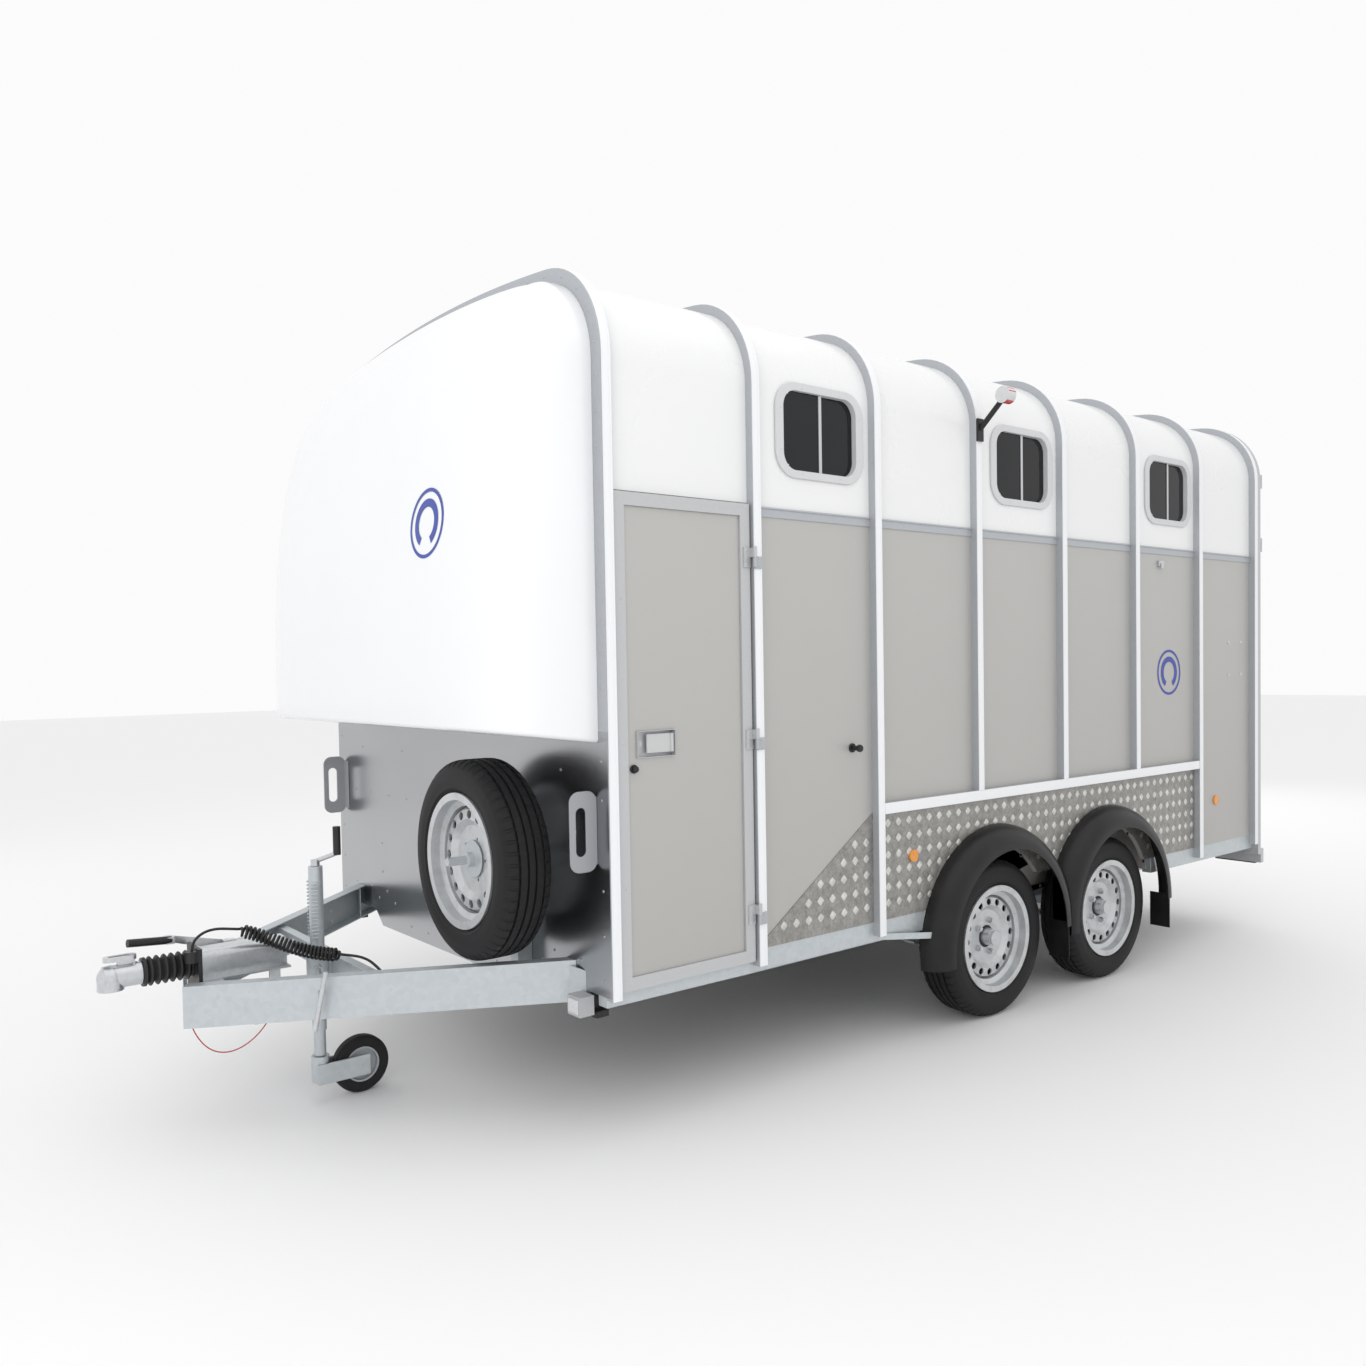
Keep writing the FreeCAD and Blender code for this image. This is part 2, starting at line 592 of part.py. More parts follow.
def handbrake_lever():
    """Flat lever lying forward over the coupling, with its grip; it pulls up and back."""
    pivot = V(-72, -800, 566)
    boss = rod(pivot, pivot + V(-12, 0, 0), 20)
    arm = prism([V(-74, -815, 552), V(-74, -790, 580), V(-74, -985, 628), V(-74, -985, 606)], V(-8, 0, 0))
    cross = block((-82, -40), (-1000, -975), (606, 628))
    grip = rod(V(-52, -985, 617), V(-30, -1120, 632), 13)
    pin_hole = rod(pivot + V(10, 0, 0), pivot - V(30, 0, 0), 8 + SPINDLE_CLEARANCE)
    return [boss.fuse([arm, cross]).cut([grip, pin_hole]), grip]


def jockey_clamp():
    """Clamp ring that the jockey tube slides in, welded to the drawbar's cross member."""
    low, high = V(60, -540, 440), V(60, -540, 512)
    ring = pipe(low, high, 38, JOCKEY_R + SPINDLE_CLEARANCE)
    screw_hole = rod(clamp_point(20), clamp_point(80), 8.05)
    boss = rod(clamp_point(30), clamp_point(54), 16)
    web = block((40, 80), (-520, -502), (442, 510))
    return [ring.fuse([boss, web]).cut([screw_hole, rod(low, high, JOCKEY_R + SPINDLE_CLEARANCE)])]


def clamp_lever():
    """Clamp screw through the rail, with a bent bar outside to turn it."""
    end = clamp_point(386)
    screw = rod(clamp_point(JOCKEY_R + 0.6), end, 8)
    bar = rod(end + V(6, 14, 78), end - V(8, 20, 104), 8)
    return [screw.fuse(bar)]


def jockey_outer_tube():
    tube = pipe(V(60, -540, 250), V(60, -540, 820), JOCKEY_R, JOCKEY_BORE)
    cap = pipe(V(60, -540, 812), V(60, -540, 820), JOCKEY_BORE + 1, 8.05)
    return [tube.fuse(cap)]


def jockey_inner_tube():
    radius = JOCKEY_BORE - SPINDLE_CLEARANCE
    tube = pipe(V(60, -540, 168), V(60, -540, 700), radius, 16)
    nut = pipe(V(60, -540, 670), V(60, -540, 700), radius, 8.05)
    foot = rod(V(60, -540, 162), V(60, -540, 180), radius)
    stem = rod(V(60, -540, 134), V(60, -540, 162), 10)
    return [tube.fuse([nut, foot, stem])]


def jockey_crank():
    spindle = rod(V(60, -540, 330), V(60, -540, 832), 8)
    hub = rod(V(60, -540, 821), V(60, -540, 842), 15)
    turn, end = V(60, -540, 836), V(97, -476, 862)
    arm = rod(turn, end, 8)
    grip = rod(end - V(0, 0, 6), end + V(0, 0, 92), 13)
    return [spindle.fuse([hub, arm]).cut(grip), grip]


def jockey_fork():
    """Castor fork on the stem of the inner tube, trailing to the wheel."""
    sleeve = rod(V(60, -540, 70), V(60, -540, 160), 30).cut(rod(V(60, -540, 60), V(60, -540, 161), 10.05))
    cheeks = []
    for x in (60 - 36, 60 + 30):
        cheek = block((x, x + 6), (-560, -375), (66, 136))
        cheeks.append(cheek)
    back = block((24, 96), (-560, -548), (66, 136))
    axle = rod(V(22, -398, 100), V(98, -398, 100), 7)
    fork = sleeve.fuse(cheeks + [back, axle]).cut(rod(V(60, -540, 60), V(60, -540, 161), 10.05))
    return [fork]


def jockey_wheel():
    """Pressed rim and solid rubber tyre."""
    y, z = -398, JOCKEY_WHEEL_R
    left, right = 60 - 24, 60 + 24
    tyre = pipe(V(left, y, z), V(right, y, z), JOCKEY_WHEEL_R, 62)
    tyre = tyre.makeFillet(14, [e for e in tyre.Edges if abs(e.BoundBox.ZLength - 2 * JOCKEY_WHEEL_R) < 1
                                and e.BoundBox.XLength < 0.1])
    rim = pipe(V(left + 2, y, z), V(right - 2, y, z), 62, 55)
    disc = rod(V(54, y, z), V(66, y, z), 55)
    hub = rod(V(left - 4, y, z), V(right + 4, y, z), 17)
    return [tyre, rim.fuse([disc, hub]).cut(rod(V(0, y, z), V(120, y, z), 7 + SPINDLE_CLEARANCE))]


# ---------------------------------------------------------------- running gear

def tyre_at_origin():
    """Tyre about the X axis: flat tread, round shoulders, bulged sidewalls, open bead."""
    half = TYRE_W / 2
    profile = [V(-half + 13, 205, 0), V(-half + 12.5, 224, 0), V(-half + 2, 232, 0), V(-half, 262, 0),
               V(-half + 6, 300, 0), V(-half + 20, TYRE_R - 7, 0), V(-half + 36, TYRE_R, 0)]
    profile += [V(-p.x, p.y, 0) for p in reversed(profile)]
    profile += [V(half - 26, 205, 0), V(half - 24, 300, 0), V(-half + 24, 300, 0), V(-half + 26, 205, 0)]
    return turned(profile, CENTRE, X_AXIS)


def rim_at_origin():
    """Steel wheel: drop-centre barrel with flanges and a dished disc with a ring of holes."""
    barrel = turned([V(-76, 204, 0), V(-77, RIM_FLANGE_R, 0), V(-85, RIM_FLANGE_R, 0), V(-84, 198, 0),
                     V(-52, 196, 0), V(-44, 176, 0), V(44, 176, 0), V(52, 196, 0), V(84, 198, 0),
                     V(85, RIM_FLANGE_R, 0), V(77, RIM_FLANGE_R, 0), V(76, 204, 0), V(48, 203, 0),
                     V(40, 183, 0), V(-40, 183, 0), V(-48, 203, 0)], CENTRE, X_AXIS)
    disc = turned([V(10, 177, 0), V(34, 160, 0), V(36, 132, 0), V(18, 112, 0), V(20, 45, 0), V(24, 45, 0),
                   V(24, 112, 0), V(42, 132, 0), V(40, 164, 0), V(16, 178, 0)], CENTRE, X_AXIS)
    holes = []
    for index in range(16):
        angle = 2 * math.pi * index / 16
        spot = V(0, 148 * math.cos(angle), 148 * math.sin(angle))
        holes.append(rod(spot, spot + V(60, 0, 0), 14.5))
    for index in range(5):
        angle = 2 * math.pi * index / 5
        spot = V(0, 70 * math.cos(angle), 70 * math.sin(angle))
        holes.append(rod(spot, spot + V(60, 0, 0), 6))
    return barrel.fuse(disc.cut(holes))


def hub_at_origin():
    """Brake drum, studs and grease cap, bored for the axle spindle."""
    drum = rod(V(-62, 0, 0), V(18, 0, 0), 112)
    spigot = rod(V(18, 0, 0), V(60, 0, 0), 36)
    cap = rod(V(60, 0, 0), V(74, 0, 0), 30)
    studs = []
    for index in range(5):
        angle = 2 * math.pi * index / 5
        spot = V(24, 70 * math.cos(angle), 70 * math.sin(angle))
        studs.append(rod(spot, spot + V(16, 0, 0), 13))
        studs.append(rod(spot - V(8, 0, 0), spot, 6))
    bore = rod(V(-63, 0, 0), V(50, 0, 0), SPINDLE_R + SPINDLE_CLEARANCE)
    return drum.fuse([spigot, cap] + studs).cut(bore)


def on_axle(shape, side, y):
    placed = shape.copy()
    placed.translate(V(WHEEL_X, y, AXLE_Z))
    return placed if side > 0 else mirrored(placed)


def axle_beams():
    """Square beams with a turned spindle and a brake back plate at each end."""
    beams = []
    for y in AXLE_Y:
        inner = WHEEL_X - 72
        beam = block((-inner, inner), (y - 30, y + 30), (AXLE_Z - 30, AXLE_Z + 30))
        ends = both([rod(V(inner, y, AXLE_Z), V(WHEEL_X + 46, y, AXLE_Z), SPINDLE_R),
                     rod(V(inner, y, AXLE_Z), V(inner + 9.5, y, AXLE_Z), 118)])
        beams.append(beam.fuse(ends))
    return beams


def leaf_springs():
    """Underslung leaf springs with their hangers and axle plates."""
    solids = []
    for y in AXLE_Y:
        eye_z, mid_z, reach = 352, AXLE_Z - 39, 352
        for leaf, half in enumerate((reach, 250, 150)):
            drop = 9 * leaf
            sag = (eye_z - mid_z) * (half / reach) ** 2
            outer = Part.Arc(V(757, y - half, mid_z + sag - drop), V(757, y, mid_z - drop),
                             V(757, y + half, mid_z + sag - drop)).toShape()
            inner = Part.Arc(V(757, y + half, mid_z + sag - drop - 8.2), V(757, y, mid_z - drop - 8.2),
                             V(757, y - half, mid_z + sag - drop - 8.2)).toShape()
            sides = [Part.LineSegment(outer.Vertexes[-1].Point, inner.Vertexes[0].Point).toShape(),
                     Part.LineSegment(inner.Vertexes[-1].Point, outer.Vertexes[0].Point).toShape()]
            face = Part.Face(Part.Wire([outer, sides[0], inner, sides[1]]))
            solids.append(face.extrude(V(58, 0, 0)))
        saddle = block((752, 820), (y - 50, y + 50), (mid_z + 1.2, AXLE_Z - 30))
        solids.append(saddle)
        for end in (-reach, reach):
            hanger = block((753, 819), (y + end - 24, y + end + 24), (352.2, 380))
            solids.append(hanger)
    return both(solids)


def mudguards():
    """Black moulded guards, one arch over each wheel, with a flap down behind."""
    shells = []
    for y in AXLE_Y:
        outer = rod(V(1039, y, AXLE_Z), V(GUARD_OUT, y, AXLE_Z), GUARD_R)
        inner = rod(V(1038, y, AXLE_Z), V(GUARD_OUT + 1, y, AXLE_Z), GUARD_R - GUARD_T)
        arc = outer.cut([inner, block((1000, 1200), (y - 500, y + 500), (-200, AXLE_Z - 40))])
        front_cut = block((1000, 1200), (y - 500, y), (-200, AXLE_Z + 40))
        lip = rod(V(GUARD_OUT - 4, y, AXLE_Z), V(GUARD_OUT, y, AXLE_Z), GUARD_R - GUARD_T)
        lip = lip.cut(rod(V(GUARD_OUT - 5, y, AXLE_Z), V(GUARD_OUT + 1, y, AXLE_Z), GUARD_R - 22))
        lip = lip.cut(block((1000, 1200), (y - 500, y + 500), (-200, AXLE_Z - 40)))
        flap = block((1039, GUARD_OUT), (y + GUARD_R - GUARD_T, y + GUARD_R), (238, AXLE_Z - 40))
        shells.append(arc.fuse([lip, flap]).cut(front_cut))
    return both(shells)


# ---------------------------------------------------------------- lamps

def lamps():
    """Marker lamps on rubber arms, front position lamps, side reflectors and rear clusters."""
    y = hoop_y(3) + POST_W / 2
    base = block((POST_OUT, POST_OUT + 10), (y - 18, y + 18), (2375, 2465))
    arm = rod(V(POST_OUT + 8, y, 2425), V(1182, y, 2524), 11)
    lamp = rod(V(1196, y - 24, 2536), V(1196, y + 24, 2536), 33)
    front_arm = block((900, 980), (-3, 44), (392, 412))
    front_lamp = block((905, 975), (-62, -8), (404, 466))
    stalk = block((930, 950), (-8, -3), (404, 430))
    hanger = block((930, 950), (10, 44), (412, 466))
    solids = [base.fuse(arm).cut(lamp), lamp, front_lamp, front_arm.fuse([stalk, hanger])]
    for spot in (1446, 3876):
        solids.append(rod(V(PANEL_OUT + TREAD_T, spot, 737), V(PANEL_OUT + TREAD_T + 8, spot, 737), 24))
    cluster = block((800, 1020), (REAR_FACE + 62, REAR_FACE + LAMP_DEPTH), (340, 440))
    triangle = prism([V(660, REAR_FACE + 62, 356), V(780, REAR_FACE + 62, 356), V(720, REAR_FACE + 62, 428)],
                     V(0, 6, 0))
    solids += [cluster, triangle]
    return both(solids)


def hold_back():
    """Rubber catch on the second bay that holds the groom door open, and the door's own stud."""
    return [rod(V(PANEL_OUT, 1112, 1176), V(1082, 1112, 1176), 13)]


# ---------------------------------------------------------------- cords

def cord(points, radius):
    """A tube along straight runs joined by tangent arcs, each as large as its two runs allow."""
    edges = []
    start = points[0]
    radii = []
    for before, corner, after in zip(points, points[1:], points[2:]):
        incoming, outgoing = corner - before, after - corner
        turn = incoming.getAngle(outgoing)
        reach = 0.45 * min(incoming.Length, outgoing.Length)
        into = corner - incoming.normalize() * reach
        out = corner + outgoing.normalize() * reach
        bisector = (into + out) * 0.5 - corner
        arc_r = reach / math.tan(turn / 2)
        depth = arc_r / math.cos(turn / 2) - arc_r
        edges.append(Part.LineSegment(start, into).toShape())
        edges.append(Part.Arc(into, corner + bisector.normalize() * depth, out).toShape())
        start = out
        radii.append(round(arc_r))
    edges.append(Part.LineSegment(start, points[-1]).toShape())
    path = Part.Wire(edges)
    section = Part.Wire(Part.makeCircle(radius, points[0], points[1] - points[0]))
    tube = path.makePipeShell([section], True, False)
    print("cord radii", radii, "length", round(path.Length),
          "volume ratio", round(tube.Volume / (math.pi * radius ** 2 * path.Length), 3))
    return tube


LEAD_R = 4.5
CURL_R = 25
LEAD_FRONT = [V(66, -952, 596), V(66, -949, 618), V(65, -935, 638), V(64, -908, 653), V(62, -872, 656),
              V(61, -838, 650), V(61, -809.4, 640.5)]
LEAD_CURL = [V(61, -808, 640), V(68, -768, 628), V(90, -718, 604), V(124, -668, 578), V(166, -618, 558),
             V(212, -572, 548), V(258, -528, 546)]
LEAD_REAR = [V(258.6, -527.4, 546), V(280, -506, 545), V(304, -484, 541), V(334, -466, 531), V(366, -456, 515),
             V(400, -450, 500), V(440, -446, 488), V(480, -446, 484), V(526, -447, 482)]
CABLE_R = 2
CABLE = [V(60, -937, 398), V(60, -951, 396), V(60, -960, 382), V(58, -956, 346), V(52, -936, 304), V(44, -908, 266),
         V(36, -872, 240), V(30, -830, 230), V(26, -786, 238), V(22, -742, 262), V(20, -706, 298),
         V(20, -682, 338), V(20, -672, 379)]


def lead_tails():
    return [cord(LEAD_FRONT, LEAD_R), cord(LEAD_REAR, LEAD_R)]


def cable_anchor():
    """Brake rod bracket under the drawbar tip that the breakaway cable is tied to."""
    return [block((0, 40), (-690, -654), (379, 391)), block((6, 16), (-690, -654), (391, 492))]


WINDOWS = window_centres()
NODES = {
    "side_posts": side_posts() + door_hinge_halves() + hold_back(),
    "roof_bows": roof_bows(),
    "roof_shell": roof_shell(),
    "lower_panels": lower_panels(),
    "tread_plates": tread_plates(),
    "front_bulkhead": front_bulkhead(),
    "nose_shell": nose_shell(),
    "grab_handles": grab_handles(),
    "floor_deck": floor_deck(),
    "wheel_boxes": wheel_boxes(),
    "window_frames": window_frames(),
    "window_fixed_panes": window_fixed_panes(),
    "groom_door_frame": groom_door_frame(),
    "groom_door_leaf": groom_door_leaf(),
    "door_latch_paddle": door_latch_paddle(),
    "rear_frame": rear_frame(),
    "rear_door_left": rear_door(1),
    "rear_door_right": rear_door(-1),
    "rear_ramp": rear_ramp(),
    "ramp_latch_left": ramp_latch(1),
    "ramp_latch_right": ramp_latch(-1),
    "centre_partition": centre_partition(),
    "drawbar_rails": drawbar_rails(),
    "chassis_frame": chassis_frame(),
    "overrun_housing": overrun_housing() + cable_anchor(),
    "coupling_head": coupling_head(),
    "coupling_handle": coupling_handle(),
    "draw_tube": draw_tube(),
    "draw_bellows": draw_bellows(),
    "handbrake_lever": handbrake_lever(),
    "jockey_clamp": jockey_clamp(),
    "clamp_lever": clamp_lever(),
    "jockey_outer_tube": jockey_outer_tube(),
    "jockey_inner_tube": jockey_inner_tube(),
    "jockey_crank": jockey_crank(),
    "jockey_fork": jockey_fork(),
    "jockey_wheel": jockey_wheel(),
    "axle_beams": axle_beams(),
    "leaf_springs": leaf_springs(),
    "mudguards": mudguards(),
    "lamps": lamps(),
    "lead_tails": lead_tails(),
    "curly_lead": [cord(LEAD_CURL, CURL_R)],
    "breakaway_cable": [cord(CABLE, CABLE_R)],
}

for number, centre in enumerate(WINDOWS, 1):
    slider = window_slider(centre)
    NODES[f"window_slider_left_{number}"] = slider
    NODES[f"window_slider_right_{number}"] = [mirrored(shape) for shape in slider]

TYRE, RIM, HUB = tyre_at_origin(), rim_at_origin(), hub_at_origin()
for place, y in zip(("front", "rear"), AXLE_Y):
    for hand, side in (("left", 1), ("right", -1)):
        NODES[f"tyre_{place}_{hand}"] = [on_axle(TYRE, side, y)]
        NODES[f"wheel_{place}_{hand}"] = [on_axle(RIM, side, y), on_axle(HUB, side, y)]

SPARE = V(575, -176, 868)
for name, shape in (("spare_tyre", TYRE), ("spare_rim", RIM)):
    spare = shape.copy()
    spare.rotate(CENTRE, Z_AXIS, -90)
    spare.translate(SPARE)
    NODES[name] = [spare]

os.makedirs("parts", exist_ok=True)
for name, shapes in NODES.items():
    node = Part.makeCompound(shapes) if len(shapes) > 1 else shapes[0]
    node = node.copy()
    node.translate(V(0, Y_SHIFT, 0))
    solids = len(node.Solids)
    if not node.isValid() or solids == 0:
        print("CHECK", name, "valid", node.isValid(), "solids", solids)
    node.exportStep(f"parts/{name}.step")
print(len(NODES), "nodes, Y shift", Y_SHIFT)
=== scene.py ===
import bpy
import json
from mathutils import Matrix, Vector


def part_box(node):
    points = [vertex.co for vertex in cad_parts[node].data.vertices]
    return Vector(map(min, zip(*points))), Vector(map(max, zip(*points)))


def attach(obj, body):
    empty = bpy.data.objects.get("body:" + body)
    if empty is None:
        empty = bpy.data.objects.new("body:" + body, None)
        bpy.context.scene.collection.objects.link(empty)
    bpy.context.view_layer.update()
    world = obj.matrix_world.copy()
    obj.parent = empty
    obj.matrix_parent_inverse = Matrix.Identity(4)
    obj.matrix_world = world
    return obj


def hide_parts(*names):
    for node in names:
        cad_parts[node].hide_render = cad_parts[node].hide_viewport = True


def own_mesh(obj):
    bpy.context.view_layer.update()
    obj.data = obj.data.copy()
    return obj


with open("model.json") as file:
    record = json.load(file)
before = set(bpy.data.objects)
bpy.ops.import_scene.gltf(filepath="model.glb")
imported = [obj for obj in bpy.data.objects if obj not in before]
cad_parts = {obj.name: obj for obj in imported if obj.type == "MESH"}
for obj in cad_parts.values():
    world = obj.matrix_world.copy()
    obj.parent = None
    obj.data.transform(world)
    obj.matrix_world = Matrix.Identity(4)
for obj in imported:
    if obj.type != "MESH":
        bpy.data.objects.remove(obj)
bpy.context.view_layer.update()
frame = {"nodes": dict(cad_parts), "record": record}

import json
import math

import bmesh
import bpy
from mathutils import Matrix, Vector

scene = bpy.context.scene


# ------------------------------------------------------------------ camera, light and floor
# A camera at a standing person's eye height off the trailer's front left corner, a plain pale
# floor, and a soft studio: a bright surround and four softboxes, which are overhead, beside the
# camera, off the front right corner and off the back right corner.

camera = bpy.data.objects.new("camera", bpy.data.cameras.new("camera"))
camera.data.sensor_width = 36.0
camera.data.lens = 29.41
camera.data.shift_x = -0.0028
camera.data.shift_y = 0.0126
camera.data.clip_end = 200
body_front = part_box("side_posts")[0].y
turn = Matrix.Rotation(math.radians(51.249), 4, "Z") @ Matrix.Rotation(math.radians(88.196), 4, "X")
camera.matrix_world = (Matrix.Translation((3.860, body_front - 1.932, 1.4915)) @ turn
                       @ Matrix.Rotation(math.radians(-0.975), 4, "Z"))
scene.collection.objects.link(camera)
scene.camera = camera

surround = bpy.data.worlds.new("studio")
surround.use_nodes = True
surround.node_tree.nodes["Background"].inputs["Color"].default_value = (1.0, 1.0, 1.0, 1)
surround.node_tree.nodes["Background"].inputs["Strength"].default_value = 0.97
scene.world = surround
scene.view_settings.view_transform = "Standard"


def softbox(name, size, power, place, aim, mirrored=False):
    lamp = bpy.data.lights.new(name, "AREA")
    lamp.shape = "RECTANGLE"
    lamp.size, lamp.size_y = size
    lamp.energy = power
    stand = bpy.data.objects.new(name, lamp)
    facing = (Vector(aim) - Vector(place)).to_track_quat("-Z", "Y").to_matrix().to_4x4()
    stand.matrix_world = Matrix.Translation(place) @ facing
    stand.visible_glossy = mirrored
    scene.collection.objects.link(stand)


floor_form = bmesh.new()
bmesh.ops.create_grid(floor_form, x_segments=1, y_segments=1, size=40)
floor_mesh = bpy.data.meshes.new("floor")
floor_form.to_mesh(floor_mesh)
floor_form.free()
floor = bpy.data.objects.new("floor", floor_mesh)
floor_paint = bpy.data.materials.new("studio floor")
floor_paint.use_nodes = True
floor_shader = floor_paint.node_tree.nodes["Principled BSDF"]
floor_shader.inputs["Base Color"].default_value = (0.88, 0.88, 0.88, 1)
floor_shader.inputs["Roughness"].default_value = 0.7
floor_mesh.materials.append(floor_paint)
scene.collection.objects.link(floor)

softbox("overhead", (7, 9), 70, (1.5, -0.5, 6.5), (0, 0, 0.5), True)
softbox("key", (3, 3), 60, (4.4, -5.4, 3.2), (0.6, -0.8, 1.3))
softbox("fill", (5, 3), 20, (-6.0, -5.5, 3.0), (0, -1.5, 1.2))
softbox("rear", (5, 3), 60, (-4.0, 7.5, 3.5), (0, 2.0, 1.2))


# ------------------------------------------------------------------ tools for materials
# Every material is a node graph on object coordinates, so its pattern stays with its piece.

class Link:
    """An output of a shader node. Arithmetic on it adds Math nodes to its material."""

    def __init__(self, socket):
        self.socket = socket
        self.tree = socket.id_data

    def node(self, kind, settings=None, inputs=None, output=0):
        made = self.tree.nodes.new("ShaderNode" + kind)
        for name, value in (settings or {}).items():
            if name == "stops":
                ramp = made.color_ramp
                while len(ramp.elements) < len(value):
                    ramp.elements.new(0.5)
                for element, (place, tone) in zip(ramp.elements, value):
                    element.position = place
                    element.color = (tone, tone, tone, 1)
            else:
                setattr(made, name, value)
        for name, value in (inputs or {}).items():
            if isinstance(value, Link):
                self.tree.links.new(value.socket, made.inputs[name])
            else:
                made.inputs[name].default_value = value
        return Link(made.outputs[output])

    def math(self, operation, *others, clamp=False):
        settings = {"operation": operation, "use_clamp": clamp}
        return self.node("Math", settings, dict(enumerate((self,) + others)))

    def __add__(self, other):
        return self.math("ADD", other)

    def __mul__(self, other):
        return self.math("MULTIPLY", other)

    def __sub__(self, other):
        return self.math("SUBTRACT", other)

    def __rsub__(self, other):
        return self * -1 + other

    __radd__ = __add__
    __rmul__ = __mul__

    def clamped(self):
        return self.math("ADD", 0.0, clamp=True)

    def noise(self, scale, detail=3.0, rough=0.5):
        return self.node("TexNoise", None, {"Vector": self, "Scale": scale, "Detail": detail,
                                            "Roughness": rough})

    def stretched(self, x, y, z):
        return self.node("Mapping", None, {"Vector": self, "Scale": (x, y, z)})

    def axis(self, which):
        return self.node("SeparateXYZ", None, {"Vector": self}, "XYZ".index(which))

    def steps(self, *stops):
        return self.node("ValToRGB", {"stops": stops}, {"Fac": self})

    def blend(self, first, second):
        """A colour from first to second as this value goes from 0 to 1."""
        rgba = [value if isinstance(value, Link) else (*value, 1) for value in (first, second)]
        return self.node("Mix", {"data_type": "RGBA"}, {"Factor": self, 6: rgba[0], 7: rgba[1]}, 2)

    def bump(self, strength, distance, under=None):
        sockets = {"Height": self, "Strength": strength, "Distance": distance}
        if under is not None:
            sockets["Normal"] = under
        return self.node("Bump", None, sockets)


def begin(name):
    """A new material and the object coordinates that its patterns are laid out on."""
    paint = bpy.data.materials.new(name)
    paint.use_nodes = True
    place = paint.node_tree.nodes.new("ShaderNodeTexCoord")
    return paint, Link(place.outputs["Object"])


def complete(paint, **sockets):
    """Set the material's shader sockets, each a link or a number or a colour."""
    shader = paint.node_tree.nodes["Principled BSDF"]
    for name, value in sockets.items():
        socket = shader.inputs[name.replace("_", " ")]
        if isinstance(value, Link):
            paint.node_tree.links.new(value.socket, socket)
        elif isinstance(value, tuple):
            socket.default_value = (*value, 1)
        else:
            socket.default_value = value
    return paint


def rubber(name, tone, rough):
    """Moulded rubber: near black, a little dusty, with a fine grain."""
    paint, place = begin(name)
    dust = place.noise(9, 4).steps((0.42, 0.0), (0.75, 1.0))
    grain = place.noise(900, 2)
    dusty = tuple(tone * lift + 0.01 for lift in (2.4, 2.3, 2.2))
    colour = (dust * 0.3).blend((tone, tone, tone), dusty)
    return complete(paint, Base_Color=colour, Roughness=dust * 0.12 + rough,
                    Normal=grain.bump(0.15, 0.0004), Specular_IOR_Level=0.35)


# ------------------------------------------------------------------ cords
# The electric lead is a 9 mm rubber cable: plain at the plug, curly where it lies over the
# drawbar, plain again to its hole in the rail. The breakaway cable is 4 mm red sheathed wire.

black_rubber = rubber("black rubber", 0.018, 0.42)


def sheathed_wire():
    """Red plastic over wire rope, whose strands show faintly through."""
    paint, place = begin("red sheathed wire")
    soil = place.noise(60, 3)
    return complete(paint, Base_Color=soil.blend((0.62, 0.05, 0.045), (0.42, 0.03, 0.03)),
                    Roughness=soil * 0.2 + 0.3, Normal=place.noise(700).bump(0.2, 0.0003))


def cable(name, route, radius, paint, resolution=6):
    """A cable whose smooth line follows a route of points."""
    curve = bpy.data.curves.new(name, "CURVE")
    curve.dimensions = "3D"
    curve.bevel_depth = radius
    curve.bevel_resolution = 3
    curve.resolution_u = resolution
    curve.use_fill_caps = True
    line = curve.splines.new("NURBS")
    line.points.add(len(route) - 1)
    for point, place in zip(line.points, route):
        point.co = (*place, 1)
    line.order_u = 3
    line.use_endpoint_u = True
    piece = bpy.data.objects.new(name, curve)
    if paint:
        piece.data.materials.append(paint)
    scene.collection.objects.link(piece)
    return piece


def along(route, resolution=6):
    """Points along the smooth line that a cable would follow, read from a guide with no thickness."""
    guide = cable("guide", route, 0, None, resolution)
    bpy.context.view_layer.update()
    mesh = bpy.data.meshes.new_from_object(guide.evaluated_get(bpy.context.evaluated_depsgraph_get()))
    points = [vertex.co.copy() for vertex in mesh.vertices]
    bpy.data.meshes.remove(mesh)
    bpy.data.objects.remove(guide)
    return points


def length_of(points):
    return sum((b - a).length for a, b in zip(points, points[1:]))


def at_body(points):
    """Route points given from the body's front face, moved to the frame's origin."""
    return [Vector((x, y + body_front, z)) for x, y, z in points]


LEAD_R = 0.0045
COIL_R = 0.0195
COIL_TURNS = 27
PER_TURN = 12
TAPER = 10
lead_front = at_body([(0.066, -0.952, 0.596), (0.066, -0.949, 0.618), (0.065, -0.935, 0.638),
                      (0.064, -0.908, 0.653), (0.062, -0.872, 0.656), (0.061, -0.838, 0.650),
                      (0.061, -0.8094, 0.6405)])
lead_curl = at_body([(0.061, -0.808, 0.640), (0.068, -0.768, 0.628), (0.090, -0.718, 0.604),
                     (0.124, -0.668, 0.578), (0.166, -0.618, 0.558), (0.212, -0.572, 0.548),
                     (0.258, -0.528, 0.546)])
lead_rear = at_body([(0.2586, -0.5274, 0.546), (0.280, -0.506, 0.545), (0.304, -0.484, 0.541),
                     (0.334, -0.466, 0.531), (0.366, -0.456, 0.515), (0.400, -0.450, 0.500),
                     (0.440, -0.446, 0.488), (0.480, -0.446, 0.484), (0.526, -0.447, 0.482)])
spine = along(lead_curl, 24)

